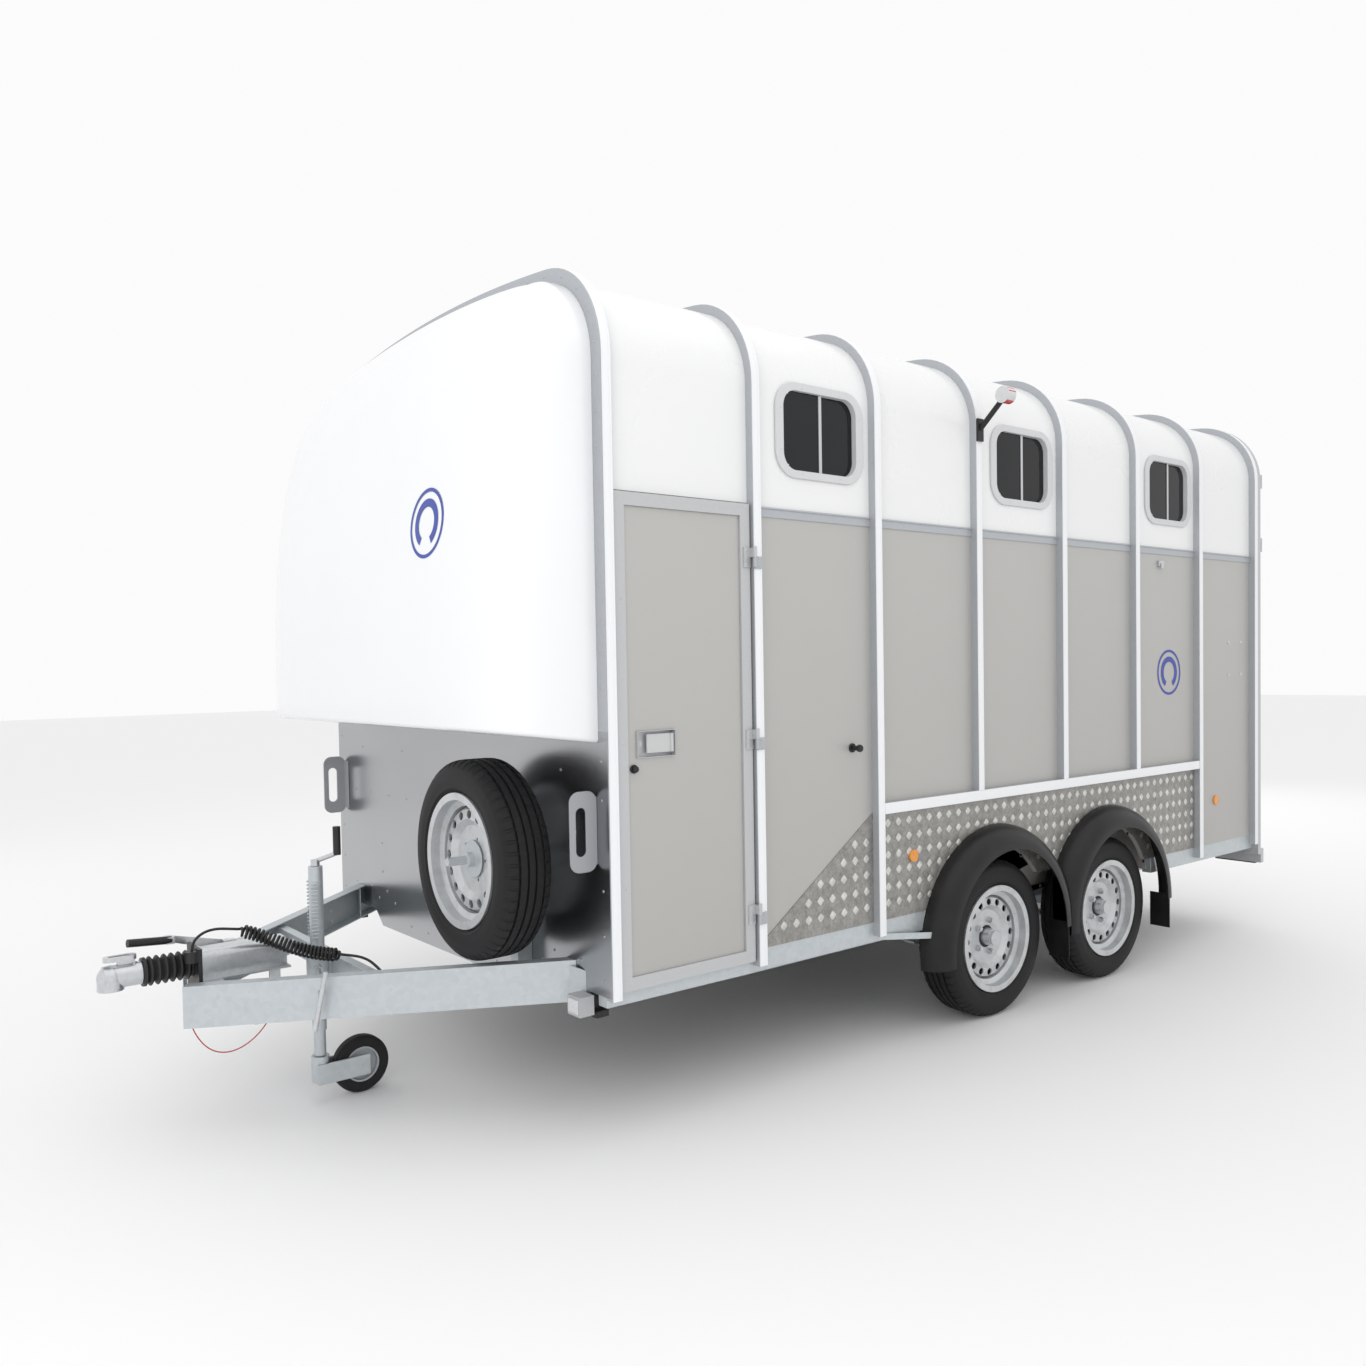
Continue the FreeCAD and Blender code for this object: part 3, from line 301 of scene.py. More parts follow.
# The curl is wound round its spine. A few steps at each end are left out, so that it runs
# smoothly into the plain lengths.
coil = []
steps = COIL_TURNS * PER_TURN
travelled = [0.0]
for a, b in zip(spine, spine[1:]):
    travelled.append(travelled[-1] + (b - a).length)
for step in range(steps + 1):
    share = step / steps
    goal = share * travelled[-1]
    index = max(i for i in range(len(spine) - 1) if travelled[i] <= goal + 1e-9)
    ahead = spine[index + 1] - spine[index]
    middle = spine[index] + ahead * ((goal - travelled[index]) / ahead.length)
    sideways = ahead.cross(Vector((0, 0, 1))).normalized()
    upward = sideways.cross(ahead).normalized()
    swell = min(1.0, share * 14, (1 - share) * 14)
    angle = 2 * math.pi * step / PER_TURN
    coil.append(middle + (sideways * math.sin(angle) + upward * math.cos(angle)) * COIL_R * swell)

lead_route = lead_front[:-1] + coil[TAPER:-TAPER] + lead_rear[1:]
lead = cable("electric_lead", lead_route, LEAD_R, black_rubber, 3)
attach(lead, "chassis")
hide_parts("lead_tails", "curly_lead")
length_of(along(lead_route, 3))

CABLE_R = 0.002
cable_route = at_body([(0.060, -0.937, 0.398), (0.060, -0.951, 0.396), (0.060, -0.960, 0.382),
                       (0.058, -0.956, 0.346), (0.052, -0.936, 0.304), (0.044, -0.908, 0.266),
                       (0.036, -0.872, 0.240), (0.030, -0.830, 0.230), (0.026, -0.786, 0.238),
                       (0.022, -0.742, 0.262), (0.020, -0.706, 0.298), (0.020, -0.682, 0.338),
                       (0.020, -0.672, 0.379)])
breakaway = cable("breakaway_wire", cable_route, CABLE_R, sheathed_wire(), 10)
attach(breakaway, "chassis")
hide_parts("breakaway_cable")
length_of(along(cable_route, 10))


# ------------------------------------------------------------------ chassis and drawbar
# Hot-dip galvanised folded steel, bolted and welded, with a mottled zinc spangle. Edges of the
# cut sheet are slightly rounded by the zinc. Nuts and bolts show along the drawbar.

def galvanised(name, tone, spangle_scale=55):
    """Zinc coating: crystals in slightly different greys, soft streaks, dull sheen."""
    paint, place = begin(name)
    crystal = place.node("TexVoronoi", None, {"Vector": place, "Scale": spangle_scale}, 1)
    grey = crystal.axis("X")
    streak = place.stretched(2.5, 2.5, 9).noise(3, 5, 0.6)
    mottle = (grey * 0.35 + streak * 0.65).clamped()
    low = tuple(c * 0.80 for c in tone)
    return complete(paint, Base_Color=mottle.blend(low, tone), Metallic=0.55,
                    Roughness=mottle * 0.16 + 0.34, Normal=place.noise(240, 2).bump(0.06, 0.001))


def zinc_plated():
    """Bright zinc plating with rub marks and darker hollows."""
    paint, place = begin("zinc plated steel")
    rub = place.noise(70, 4, 0.65)
    return complete(paint, Base_Color=rub.blend((0.46, 0.48, 0.50), (0.74, 0.75, 0.76)), Metallic=0.85,
                    Roughness=rub * 0.2 + 0.24, Normal=place.noise(500).bump(0.08, 0.0006))


zinc_coat = galvanised("galvanised steel", (0.60, 0.64, 0.665))
bright_zinc = zinc_plated()

# The frame's own record of which body each node has.
body_of_node = {node: body for body, nodes in frame["record"]["behaviour"]["bodies"].items()
                for node in nodes}


def at(x, y, z):
    """A place given sideways, rearwards from the body's front face, and up from the ground."""
    return Vector((x, y + body_front, z))


def add_piece(name, form, paint, body, stands_for=(), sharp=50):
    """Turn a bmesh into a finished piece: smooth shading with sharp edges kept, on its body."""
    form.normal_update()
    limit = math.radians(sharp)
    for face in form.faces:
        face.smooth = True
    for edge in form.edges:
        edge.smooth = len(edge.link_faces) == 2 and edge.calc_face_angle(0) < limit
    mesh = bpy.data.meshes.new(name)
    form.to_mesh(mesh)
    form.free()
    piece = bpy.data.objects.new(name, mesh)
    for coat in paint if isinstance(paint, (list, tuple)) else [paint]:
        mesh.materials.append(coat)
    scene.collection.objects.link(piece)
    flat = piece.modifiers.new("flat faces stay flat", "WEIGHTED_NORMAL")
    flat.keep_sharp = True
    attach(piece, body)
    if stands_for:
        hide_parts(*stands_for)
    return piece


def merged(node):
    """A copy of a CAD node's mesh with its split vertices joined and flat areas made whole."""
    form = bmesh.new()
    form.from_mesh(frame["nodes"][node].data)
    bmesh.ops.remove_doubles(form, verts=form.verts, dist=1e-5)
    bmesh.ops.dissolve_limit(form, angle_limit=math.radians(0.6), verts=form.verts, edges=form.edges)
    for face in form.faces:
        face.material_index = 0
    form.normal_update()
    return form


def ease(form, rounding, corner=35):
    """Round over every corner sharper than a given angle, as bent, cut or cast metal has it."""
    edges = [e for e in form.edges if len(e.link_faces) == 2 and e.calc_face_angle(0) > math.radians(corner)]
    bmesh.ops.bevel(form, geom=edges, offset=rounding, offset_type="OFFSET", segments=2, profile=0.5,
                    affect="EDGES", clamp_overlap=True, material=-1)


def mean(values):
    values = list(values)
    return sum(values) / len(values)


def dressed(node, paint, rounding=0.0015, choose=None):
    """A CAD node's own shape with eased edges. choose picks a coat for each face by its corners."""
    form = merged(node)
    if choose:
        for face in form.faces:
            face.material_index = choose([vertex.co - at(0, 0, 0) for vertex in face.verts])
    if rounding:
        ease(form, rounding)
    return add_piece(node + "_piece", form, paint, body_of_node[node], [node])


def block(form, low, high, rounding=0.0, segments=2):
    """A box with rounded edges, added to a form."""
    low, high = Vector(low), Vector(high)
    size = high - low
    place = Matrix.Translation((low + high) / 2) @ Matrix.Diagonal((*size, 1))
    made = bmesh.ops.create_cube(form, size=1, matrix=place)
    if rounding:
        edges = dict.fromkeys(edge for vertex in made["verts"] for edge in vertex.link_edges)
        bmesh.ops.bevel(form, geom=list(edges), offset=rounding, offset_type="OFFSET", segments=segments,
                        profile=0.5, affect="EDGES", clamp_overlap=True, material=-1)


def side_block(form, side, x, y, z, rounding=0.0):
    """A block on either side, whose spans in x, y and z are given for the left side."""
    low, high = sorted((side * x[0], side * x[1]))
    block(form, at(low, y[0], z[0]), at(high, y[1], z[1]), rounding)


def skin(form, rings, wrapped=False, flipped=False, coats=None):
    """Faces between closed rings of vertices. wrapped also joins the last ring to the first."""
    count = len(rings[0])
    for first, second in zip(rings, rings[1:] + rings[:1] if wrapped else rings[1:]):
        for i in range(count):
            j = (i + 1) % count
            quad = (first[i], first[j], second[j], second[i])
            face = form.faces.new(quad[::-1] if flipped else quad)
            face.material_index = coats[i] if coats else 0


def strip(form, rows):
    """Faces between open rows of vertices."""
    for first, second in zip(rows, rows[1:]):
        for i in range(len(first) - 1):
            form.faces.new((first[i], first[i + 1], second[i + 1], second[i]))


def bar(form, start, end, radius, segments=24, rounding=0.0):
    """A round bar from start to end, added to a form."""
    start, end = Vector(start), Vector(end)
    way = end - start
    place = Matrix.Translation((start + end) / 2) @ way.to_track_quat("Z", "Y").to_matrix().to_4x4()
    made = bmesh.ops.create_cone(form, cap_ends=True, segments=segments, radius1=radius, radius2=radius,
                                 depth=way.length, matrix=place)
    if rounding:
        rims = dict.fromkeys(edge for vertex in made["verts"] for edge in vertex.link_edges
                             if sum(len(face.verts) > 4 for face in edge.link_faces) == 1)
        bmesh.ops.bevel(form, geom=list(rims), offset=rounding, offset_type="OFFSET", segments=2, profile=0.5,
                        affect="EDGES", clamp_overlap=True, material=-1)


def dome(form, seat, way, radius, height, rings=3, segments=14):
    """A low round rivet head."""
    seat, way = Vector(seat), Vector(way).normalized()
    facing = way.to_track_quat("Z", "Y").to_matrix().to_4x4()
    place = Matrix.Translation(seat) @ facing @ Matrix.Diagonal((radius, radius, height, 1))
    made = bmesh.ops.create_uvsphere(form, u_segments=segments, v_segments=rings * 2, radius=1, matrix=place)
    under = [v for v in made["verts"] if (v.co - seat).dot(way) < -height * 0.2]
    bmesh.ops.delete(form, geom=under, context="VERTS")


for node in ("chassis_frame", "axle_beams", "leaf_springs", "jockey_clamp"):
    dressed(node, zinc_coat, 0.002)

rails = merged("drawbar_rails")
ease(rails, 0.003)
for side in (1, -1):
    way = Vector((0.799 * side, -0.601, 0))
    for along_rail, height in ((0.18, 0.44), (0.66, 0.475), (0.92, 0.452), (0.92, 0.492)):
        seat = at((0.130 - 0.0092 + 0.601 * along_rail) * side, -0.970 + 0.0277 + 0.799 * along_rail, height)
        bar(rails, seat - way * 0.004, seat + way * 0.0012, 0.0085, 16)
    brace = [at(x * side, y, z) for x, y, z in
             ((0.792, -0.036, 0.545), (0.792, -0.036, 0.418), (0.925, -0.004, 0.462), (0.925, -0.004, 0.532))]
    corners = [[rails.verts.new(p + Vector((0, dy, 0))) for p in brace] for dy in (0, 0.004)]
    outlines = [corners[0], corners[1][::-1]] if side > 0 else [corners[0][::-1], corners[1]]
    for outline in outlines:
        rails.faces.new(outline)
    for i in range(4):
        j = (i + 1) % 4
        quad = [corners[0][j], corners[0][i], corners[1][i], corners[1][j]]
        rails.faces.new(quad if side > 0 else quad[::-1])
for x, y in ((0.105, -0.925), (-0.15, -0.885), (0.215, -0.80), (-0.215, -0.80)):
    foot = at(x, y, 0.366 + (y + 0.970) * 0.0557)
    bar(rails, foot - Vector((0, 0, 0.012)), foot, 0.011, 6, 0.001)
add_piece("drawbar_rails_piece", rails, zinc_coat, "chassis", ["drawbar_rails"])


# ------------------------------------------------------------------ hoops and trim
# Eight extruded aluminium hoops, each one length bent over the roof from sill to sill, with white
# capping over its outer face. Flat strips at the waist, and white-faced rails over the wheels.

def anodised(name, tone, rough=0.33, metal=0.75):
    """Satin anodised aluminium, very slightly mottled."""
    paint, place = begin(name)
    mottle = place.stretched(3, 3, 3).noise(30, 4, 0.6)
    cool = tuple(c * 0.9 for c in tone)
    return complete(paint, Base_Color=mottle.blend(cool, tone), Metallic=metal, Roughness=mottle * 0.12 + rough)


def moulded(name, tone, rough, coat=0.0, wave=0.0):
    """Smooth gel-coated or painted surface, with a trace of road film and gentle waviness."""
    paint, place = begin(name)
    film = place.noise(2.2, 4, 0.55)
    low = tuple(c * 0.955 for c in tone)
    sockets = dict(Base_Color=film.blend(tone, low), Roughness=film * 0.08 + rough, Coat_Weight=coat,
                   Coat_Roughness=0.06)
    if wave:
        sockets["Normal"] = place.noise(1.6, 1).bump(wave, 0.02)
    return complete(paint, **sockets)


hoop_metal = anodised("anodised hoop", (0.47, 0.49, 0.515), 0.34, 0.35)
capping = moulded("white capping", (0.84, 0.85, 0.87), 0.35)
PITCH, POST_W, POST_OUT, SKIN = 0.6096, 0.038, 1.067, 1.035
ROOF_TOP, CORNER_R, CROWN_RISE, WAIST = 2.810, 0.330, 0.040, 1.994
BODY_LEN = 7 * PITCH + POST_W
BAY_1, BAY_2, BAY_6 = PITCH + POST_W, 2 * PITCH + POST_W, 6 * PITCH
HALF_CROWN = POST_OUT - CORNER_R
CROWN_R = (HALF_CROWN ** 2 + CROWN_RISE ** 2) / (2 * CROWN_RISE)
CROWN_Z = ROOF_TOP - CROWN_R
CORNER_Z = CROWN_Z + math.sqrt((CROWN_R - CORNER_R) ** 2 - HALF_CROWN ** 2)
RAIL_LOW, RAIL_TOP = 0.918, 0.960
DOOR_HINGES, HINGE_H = (0.608, 1.204, 1.816), 0.0336


def arch_line(inset, corner_steps=14, crown_steps=32):
    """Places and outward directions over the roof, from the top of the left side to the right's."""
    join = math.atan2(HALF_CROWN, CORNER_Z - CROWN_Z)
    turns = [(HALF_CROWN, CORNER_Z, CORNER_R, math.pi / 2 + (join - math.pi / 2) * i / corner_steps)
             for i in range(corner_steps + 1)]
    turns += [(0, CROWN_Z, CROWN_R, join * (1 - 2 * i / crown_steps)) for i in range(1, crown_steps)]
    turns += [(-x, z, radius, -angle) for x, z, radius, angle in reversed(turns[:corner_steps + 1])]
    line = []
    for x, z, radius, angle in turns:
        out = Vector((math.sin(angle), 0, math.cos(angle)))
        line.append((Vector((x, 0, z)) + out * (radius - inset), out))
    return line


def swept(form, stations, profile, coats):
    """A bar whose closed profile of (across, out) follows stations of (place, across way, out way)."""
    rings = [[form.verts.new(place + across * u + out * v) for u, v in profile]
             for place, across, out in stations]
    skin(form, rings, coats=coats)
    form.faces.new(rings[0][::-1])
    form.faces.new(rings[-1])


hoops = bmesh.new()
section = [(0, -0.032), (0, -0.0015), (0.0015, 0), (0.0066, 0), (0.0076, -0.0012), (0.0086, -0.0003),
           (0.019, 0.0003), (0.0294, -0.0003), (0.0304, -0.0012), (0.0314, 0), (0.0365, 0),
           (0.038, -0.0015), (0.038, -0.032)]
coats = [1 if 2 <= i <= 9 else 0 for i in range(len(section))]
rearward = Vector((0, 1, 0))
for index in range(8):
    foot = RAIL_TOP if index in (3, 4, 5) else 0.460
    front = at(0, index * PITCH, 0)
    line = arch_line(0)
    stations = [(Vector((POST_OUT, 0, foot)), Vector((1, 0, 0)))] + line
    stations += [(Vector((-POST_OUT, 0, foot)), Vector((-1, 0, 0)))]
    swept(hoops, [(front + place, rearward, out) for place, out in stations], section, coats)
for side in (1, -1):
    for bay in range(7):
        if side < 0 or bay > 0:
            span = (bay * PITCH + POST_W, (bay + 1) * PITCH)
            side_block(hoops, side, (SKIN, SKIN + 0.005), span, (WAIST, WAIST + 0.034), 0.0012)
            side_block(hoops, side, (SKIN, SKIN + 0.009), span, (WAIST + 0.028, WAIST + 0.034), 0.001)
    side_block(hoops, side, (SKIN, POST_OUT), (BAY_2, BAY_6), (RAIL_LOW, RAIL_TOP), 0.003)
bmesh.ops.recalc_face_normals(hoops, faces=hoops.faces)
for face in hoops.faces:
    if all(abs(vertex.co.x) > POST_OUT - 0.004 and vertex.co.z < RAIL_TOP + 0.002 for vertex in face.verts):
        face.material_index = 1
for low in DOOR_HINGES:
    high = low + HINGE_H
    bar(hoops, at(1.076, 0.606, low), at(1.076, 0.606, high), 0.007, 20, 0.001)
    block(hoops, at(POST_OUT, PITCH, low), at(1.076, PITCH + 0.004, high))
    block(hoops, at(POST_OUT, PITCH + 0.001, low - 0.004), at(1.0705, PITCH + 0.036, high + 0.004), 0.001)
    for dz in (0.004, 0.030):
        dome(hoops, at(1.0705, PITCH + 0.022, low + dz), (1, 0, 0), 0.0042, 0.002)
add_piece("body_hoops", hoops, [hoop_metal, capping], "chassis", ["side_posts"], 40)

# Rubber buffer that holds the open groom door back, and its fixed base on the second bay.
buffer = bmesh.new()
bar(buffer, at(1.035, 1.112, 1.176), at(1.041, 1.112, 1.176), 0.017, 24, 0.0015)
bar(buffer, at(1.041, 1.112, 1.176), at(1.068, 1.112, 1.176), 0.009, 24, 0.001)
bar(buffer, at(1.066, 1.112, 1.176), at(1.082, 1.112, 1.176), 0.0135, 24, 0.004)
add_piece("door_buffer", buffer, black_rubber, "chassis")

# Flat aluminium band riveted round the front of the first hoop, over the moulded front's flange.
band = bmesh.new()
outer, inner = arch_line(0.001), arch_line(0.066)
outer = [(Vector((1.066, 0, 1.292)), 0)] + outer + [(Vector((-1.066, 0, 1.292)), 0)]
inner = [(Vector((1.001, 0, 1.292)), 0)] + inner + [(Vector((-1.001, 0, 1.292)), 0)]
rows = [[band.verts.new(at(p.x, y, p.z)) for p, _ in edge]
        for edge, y in ((outer, -0.0005), (outer, -0.003), (inner, -0.003), (inner, -0.0005))]
strip(band, rows + rows[:1])
bmesh.ops.recalc_face_normals(band, faces=band.faces)
rise = [Vector((1.043, 0, 1.32 + 0.1 * i)) for i in range(11)]
track = rise + [p for p, _ in arch_line(0.024)] + [Vector((-p.x, 0, p.z)) for p in reversed(rise)]
RIVET_PITCH = 0.105
gone = 0.0
for a, b in zip(track, track[1:]):
    while gone <= (b - a).length:
        spot = a + (b - a).normalized() * gone
        dome(band, at(spot.x, -0.003, spot.z), (0, -1, 0), 0.0055, 0.0026, 2, 10)
        gone += RIVET_PITCH
    gone -= (b - a).length
add_piece("front_band", band, hoop_metal, "chassis", ["roof_bows"], 40)


# ------------------------------------------------------------------ skins
# White-coated aluminium sheet over the roof and upper sides, and warm grey coated sheet below
# the waist, riveted behind the hoops. The grey sheet is darker towards the sill.

white_skin = moulded("white skin", (0.825, 0.83, 0.83), 0.24, 0.25)
dressed("roof_shell", white_skin, 0)


def coated_grey():
    paint, place = begin("grey coated sheet")
    # The grey is darker towards the sill, with blotches.
    dust = (place.axis("Z") * -0.5 + 0.75 + place.noise(4, 5, 0.6) * 0.3).clamped()
    sheen = place.noise(1.1, 2)
    colour = dust.blend((0.475, 0.47, 0.455), (0.43, 0.42, 0.405))
    return complete(paint, Base_Color=colour, Metallic=0.25, Roughness=sheen * 0.14 + 0.36,
                    Normal=place.noise(1.2, 1).bump(0.1, 0.015))


grey_sheet = coated_grey()
dressed("lower_panels", grey_sheet, 0)

# Small catch under the waist strip and four bolt heads behind the last hoop but one.
trifles = bmesh.new()
block(trifles, at(1.035, 3.30, 1.936), at(1.047, 3.345, 1.962), 0.002)
block(trifles, at(1.047, 3.312, 1.925), at(1.052, 3.334, 1.95), 0.0015)
for side in (1, -1):
    for y in (4.033, 4.170):
        for z in (1.562, 1.390):
            bar(trifles, at(side * 1.034, y, z), at(side * 1.0375, y, z), 0.0115, 20, 0.001)
            dome(trifles, at(side * 1.0375, y, z), (side, 0, 0), 0.009, 0.004)
add_piece("catch_and_bolts", trifles, bright_zinc, "chassis")


# ------------------------------------------------------------------ chequer plate
# Aluminium tread plate round the wheels and as a triangle in the bay ahead, pressed with rows
# of raised pads; the diamond pads are painted bright all over as a painted highlight. The corner plate in the
# last bay is plain sheet.

def tread_metal(name, low, high, rough):
    paint, place = begin(name)
    wear = place.noise(38, 5, 0.7)
    scuff = place.stretched(1, 3, 1).noise(120, 3, 0.6)
    tone = (wear * 0.6 + scuff * 0.4).steps((0.3, 0.0), (0.7, 1.0))
    return complete(paint, Base_Color=tone.blend(low, high), Metallic=0.6,
                    Roughness=wear * 0.2 + rough, Normal=scuff.bump(0.35, 0.0012))


AXLES = {"front": 1.964, "rear": 2.822}
AXLE_Z = 0.328
SILL = 0.511
STUD = 0.0612
TREAD_OUT = 1.038
plate = merged("tread_plates")
for face in plate.faces:
    plain = mean(vertex.co.y for vertex in face.verts) - body_front > BAY_6 + 0.0224
    face.material_index = 1 if plain else 0


def clear_of_wheels(y, z, gap):
    if any(math.hypot(y - axle, z - AXLE_Z) < 0.390 + gap for axle in AXLES.values()):
        return False
    return not (AXLES["front"] < y < AXLES["rear"] and z < 0.564 + gap)


def in_main_plate(y, z, gap):
    return BAY_2 + gap < y < BAY_6 - gap and z < RAIL_LOW - gap and clear_of_wheels(y, z, gap)


def in_front_triangle(y, z, gap):
    return BAY_1 + gap < y < 2 * PITCH - gap and z < 0.530 + (y - BAY_1) * 0.693 - gap * 1.25


def pad(form, middle, side, reach, power, profile, coat):
    """One raised pad. power makes it round or, larger, a diamond; profile gives (size, height)."""
    rings = []
    for scale, height in profile:
        ring = []
        for k in range(12):
            angle = 2 * math.pi * k / 12
            c, s = math.cos(angle), math.sin(angle)
            y = math.copysign(abs(c) ** power, c) * reach * scale
            z = math.copysign(abs(s) ** power, s) * reach * scale
            ring.append(form.verts.new(middle + Vector((side * height, y, z))))
        rings.append(ring)
    skin(form, rings, flipped=side < 0, coats=[coat] * 12)
    form.faces.new(rings[-1] if side > 0 else rings[-1][::-1]).material_index = coat


round_pad = ((1.0, 0.0), (0.86, 0.0009), (0.4, 0.0012))
diamond = ((1.0, 0.0), (0.66, 0.0019), (0.36, 0.0021), (0.24, 0.0014))
for side in (1, -1):
    for half_row in range(14):
        z = SILL + half_row * STUD / 2
        room = 0.026 if half_row % 2 else 0.021
        for column in range(51):
            y = BAY_2 + 0.046 - 11 * STUD + (column + (half_row % 2) / 2) * STUD
            if z > SILL + room and (in_main_plate(y, z, room) or in_front_triangle(y, z, room)):
                middle = at(side * TREAD_OUT, y, z)
                if half_row % 2 == 0:
                    pad(plate, middle, side, 0.0165, 1.6, diamond, 2)
                else:
                    pad(plate, middle, side, 0.0255, 1.0, round_pad, 0)
# The third coat, on the diamond pads, is a painted highlight.
tread_coats = [tread_metal("tread plate", (0.17, 0.165, 0.155), (0.46, 0.45, 0.43), 0.32), grey_sheet,
               tread_metal("tread pad highlight", (0.42, 0.42, 0.40), (0.86, 0.86, 0.84), 0.26)]
add_piece("tread_plates_piece", plate, tread_coats, "chassis",
          ["tread_plates"], 40)


# ------------------------------------------------------------------ moulded front
# Glass-fibre nose in glossy white gel coat: flat-sided in plan with full round corners, leaning
# back towards the roof, with a rolled lower edge and a closed underside.

nose = bmesh.new()
NOSE_BOTTOM, NOSE_INSET, NOSE_DEPTH, ROLL = 1.256, 0.048, 0.365, 0.016
PLAN, UNDER_RISE = 6.2, 0.048
NOSE_TOP = ROOF_TOP - NOSE_INSET - CROWN_RISE
NOSE_CORNER = CORNER_R - NOSE_INSET
CROWN_START = 2.05


def nose_depth(z):
    """How far the front reaches forward at the middle, at a given height."""
    lean = min(max(z - NOSE_BOTTOM, 0) / (NOSE_TOP + 0.024 - NOSE_BOTTOM), 1)
    return NOSE_DEPTH * (1 - lean ** 3.1) ** (1 / 1.55)


levels = []
for i in range(7):
    angle = math.pi / 2 * i / 6
    levels.append((NOSE_BOTTOM + ROLL * (1 - math.cos(angle)), ROLL * (1 - math.sin(angle)), 1.0))
levels += [(NOSE_BOTTOM + ROLL + (NOSE_TOP - NOSE_BOTTOM - ROLL) * (1 - (1 - i / 54) ** 1.7), 0.0, 1.0)
           for i in range(1, 55)]
levels += [(NOSE_TOP, 0.0, 1 - i / 6) for i in range(1, 7)]
turns = [math.pi * step / 80 for step in range(81)]
turns += [math.acos(math.copysign(abs(f) ** (PLAN / 2), f))
          for f in (-0.27, -0.18, -0.09, 0.09, 0.18, 0.27)]
turns.sort()
rows = []
for z, inset, kept in levels:
    width = POST_OUT - NOSE_INSET
    if z > CORNER_Z:
        width = HALF_CROWN + math.sqrt(max(NOSE_CORNER ** 2 - (z - CORNER_Z) ** 2, 0))
    depth = nose_depth(z) * kept
    lift = min(max((z - CROWN_START) / (NOSE_TOP - CROWN_START), 0), 1)
    lift = CROWN_RISE * lift * lift * (3 - 2 * lift)
    row = []
    for angle in turns:
        c, s = math.cos(angle), math.sin(angle)
        x = math.copysign(abs(c) ** (2 / PLAN), c) * (width - inset)
        reach = s ** (2 / PLAN) * max(depth - inset, 0)
        tilt = UNDER_RISE * reach / NOSE_DEPTH * max(1 - (z - NOSE_BOTTOM) / 0.8, 0)
        arch = lift * max(1 - (x / HALF_CROWN) ** 2, 0)
        row.append(nose.verts.new(at(x, -0.0035 - reach, z + tilt + arch)))
    rows.append(row)
for first, second in zip(rows, rows[1:]):
    for i in range(len(turns) - 1):
        nose.faces.new((first[i], second[i], second[i + 1], first[i + 1]))
nose.faces.new(rows[0])
bmesh.ops.remove_doubles(nose, verts=nose.verts, dist=1e-5)
bmesh.ops.recalc_face_normals(nose, faces=nose.faces)
gel_coat = moulded("white gel coat", (0.875, 0.885, 0.90), 0.13, 0.6, 0.12)
nose_piece = add_piece("moulded_front", nose, gel_coat, "chassis", ["nose_shell"], 60)
wall = nose_piece.modifiers.new("wall", "SOLIDIFY")
wall.thickness = 0.008
wall.offset = -1
nose_piece.modifiers.move(1, 0)


# Plain horseshoe badges in blue film, one on the moulded front and one on each side.

def badge(form, lay):
    """A ring round a horseshoe; lay gives the place of a point so far across and up."""
    for inner, outer, start, sweep in ((0.100, 0.112, 0, 360), (0.052, 0.078, -60, 300)):
        rows = []
        for step in range(49):
            angle = math.radians(start + sweep * step / 48)
            c, s = math.cos(angle), math.sin(angle)
            rows.append([form.verts.new(lay(r * c, r * s)) for r in (inner, outer)])
        strip(form, rows)


def on_nose(across, up):
    """The place on the moulded front for a point of its badge."""
    x, z = 0.58 + across, 1.955 + up
    angle = math.acos((x / (POST_OUT - NOSE_INSET)) ** (PLAN / 2))
    return at(x, -0.0052 - math.sin(angle) ** (2 / PLAN) * nose_depth(z), z)


film = bmesh.new()
badge(film, on_nose)
for side in (1, -1):
    badge(film, lambda across, up, side=side: at(side * 1.0362, 3.41 + side * across, 1.415 + up))
bmesh.ops.remove_doubles(film, verts=film.verts, dist=1e-6)
add_piece("badges", film, moulded("blue film", (0.03, 0.06, 0.36), 0.3), "chassis")


# ------------------------------------------------------------------ front bulkhead and handles
# Bright rolled aluminium sheet below the nose, riveted to the frame behind it, with slight
# waves that bend its reflections. Cast plate handles stand forward near each edge.

def bright_rolled():
    paint, place = begin("bright rolled sheet")
    brushed = place.stretched(2, 2, 60).noise(6, 4, 0.6)
    cloud = place.noise(1.5, 3, 0.5)
    colour = (brushed * 0.3 + cloud * 0.7).blend((0.36, 0.37, 0.39), (0.50, 0.51, 0.52))
    return complete(paint, Base_Color=colour, Metallic=1.0, Roughness=brushed * 0.1 + 0.2,
                    Normal=place.noise(1.4, 1).bump(0.28, 0.03))


bright_sheet = bright_rolled()
sheet = merged("front_bulkhead")
for x, z in ([(x, 0.968) for x in (0.70, 0.88, -0.72, -0.54, -0.37, -0.88)]
             + [(side * x, z) for side in (1, -1) for x, z in
                ((0.58, 0.562), (0.66, 0.523), (0.74, 0.562), (0.82, 0.523), (0.90, 0.562), (0.50, 0.523),
                 (1.03, 0.52), (1.03, 0.66), (1.03, 0.80), (1.03, 1.08), (1.03, 1.20), (0.35, 0.45),
                 (0.20, 0.45), (0.62, 0.76), (0.62, 0.64), (0.40, 1.16), (0.80, 1.16))]):
    dome(sheet, at(x, -0.003, z), (0, -1, 0), 0.0055, 0.0026, 2, 12)
add_piece("front_bulkhead_piece", sheet, bright_sheet, "chassis", ["front_bulkhead"], 40)
cast_grey = moulded("cast handle", (0.34, 0.35, 0.37), 0.42)
dressed("grab_handles", cast_grey, 0.003)


# ------------------------------------------------------------------ floor and wheel boxes
# Resin-bonded ply deck with a rubber tread, and boxes over the wheels in the same grey sheet.

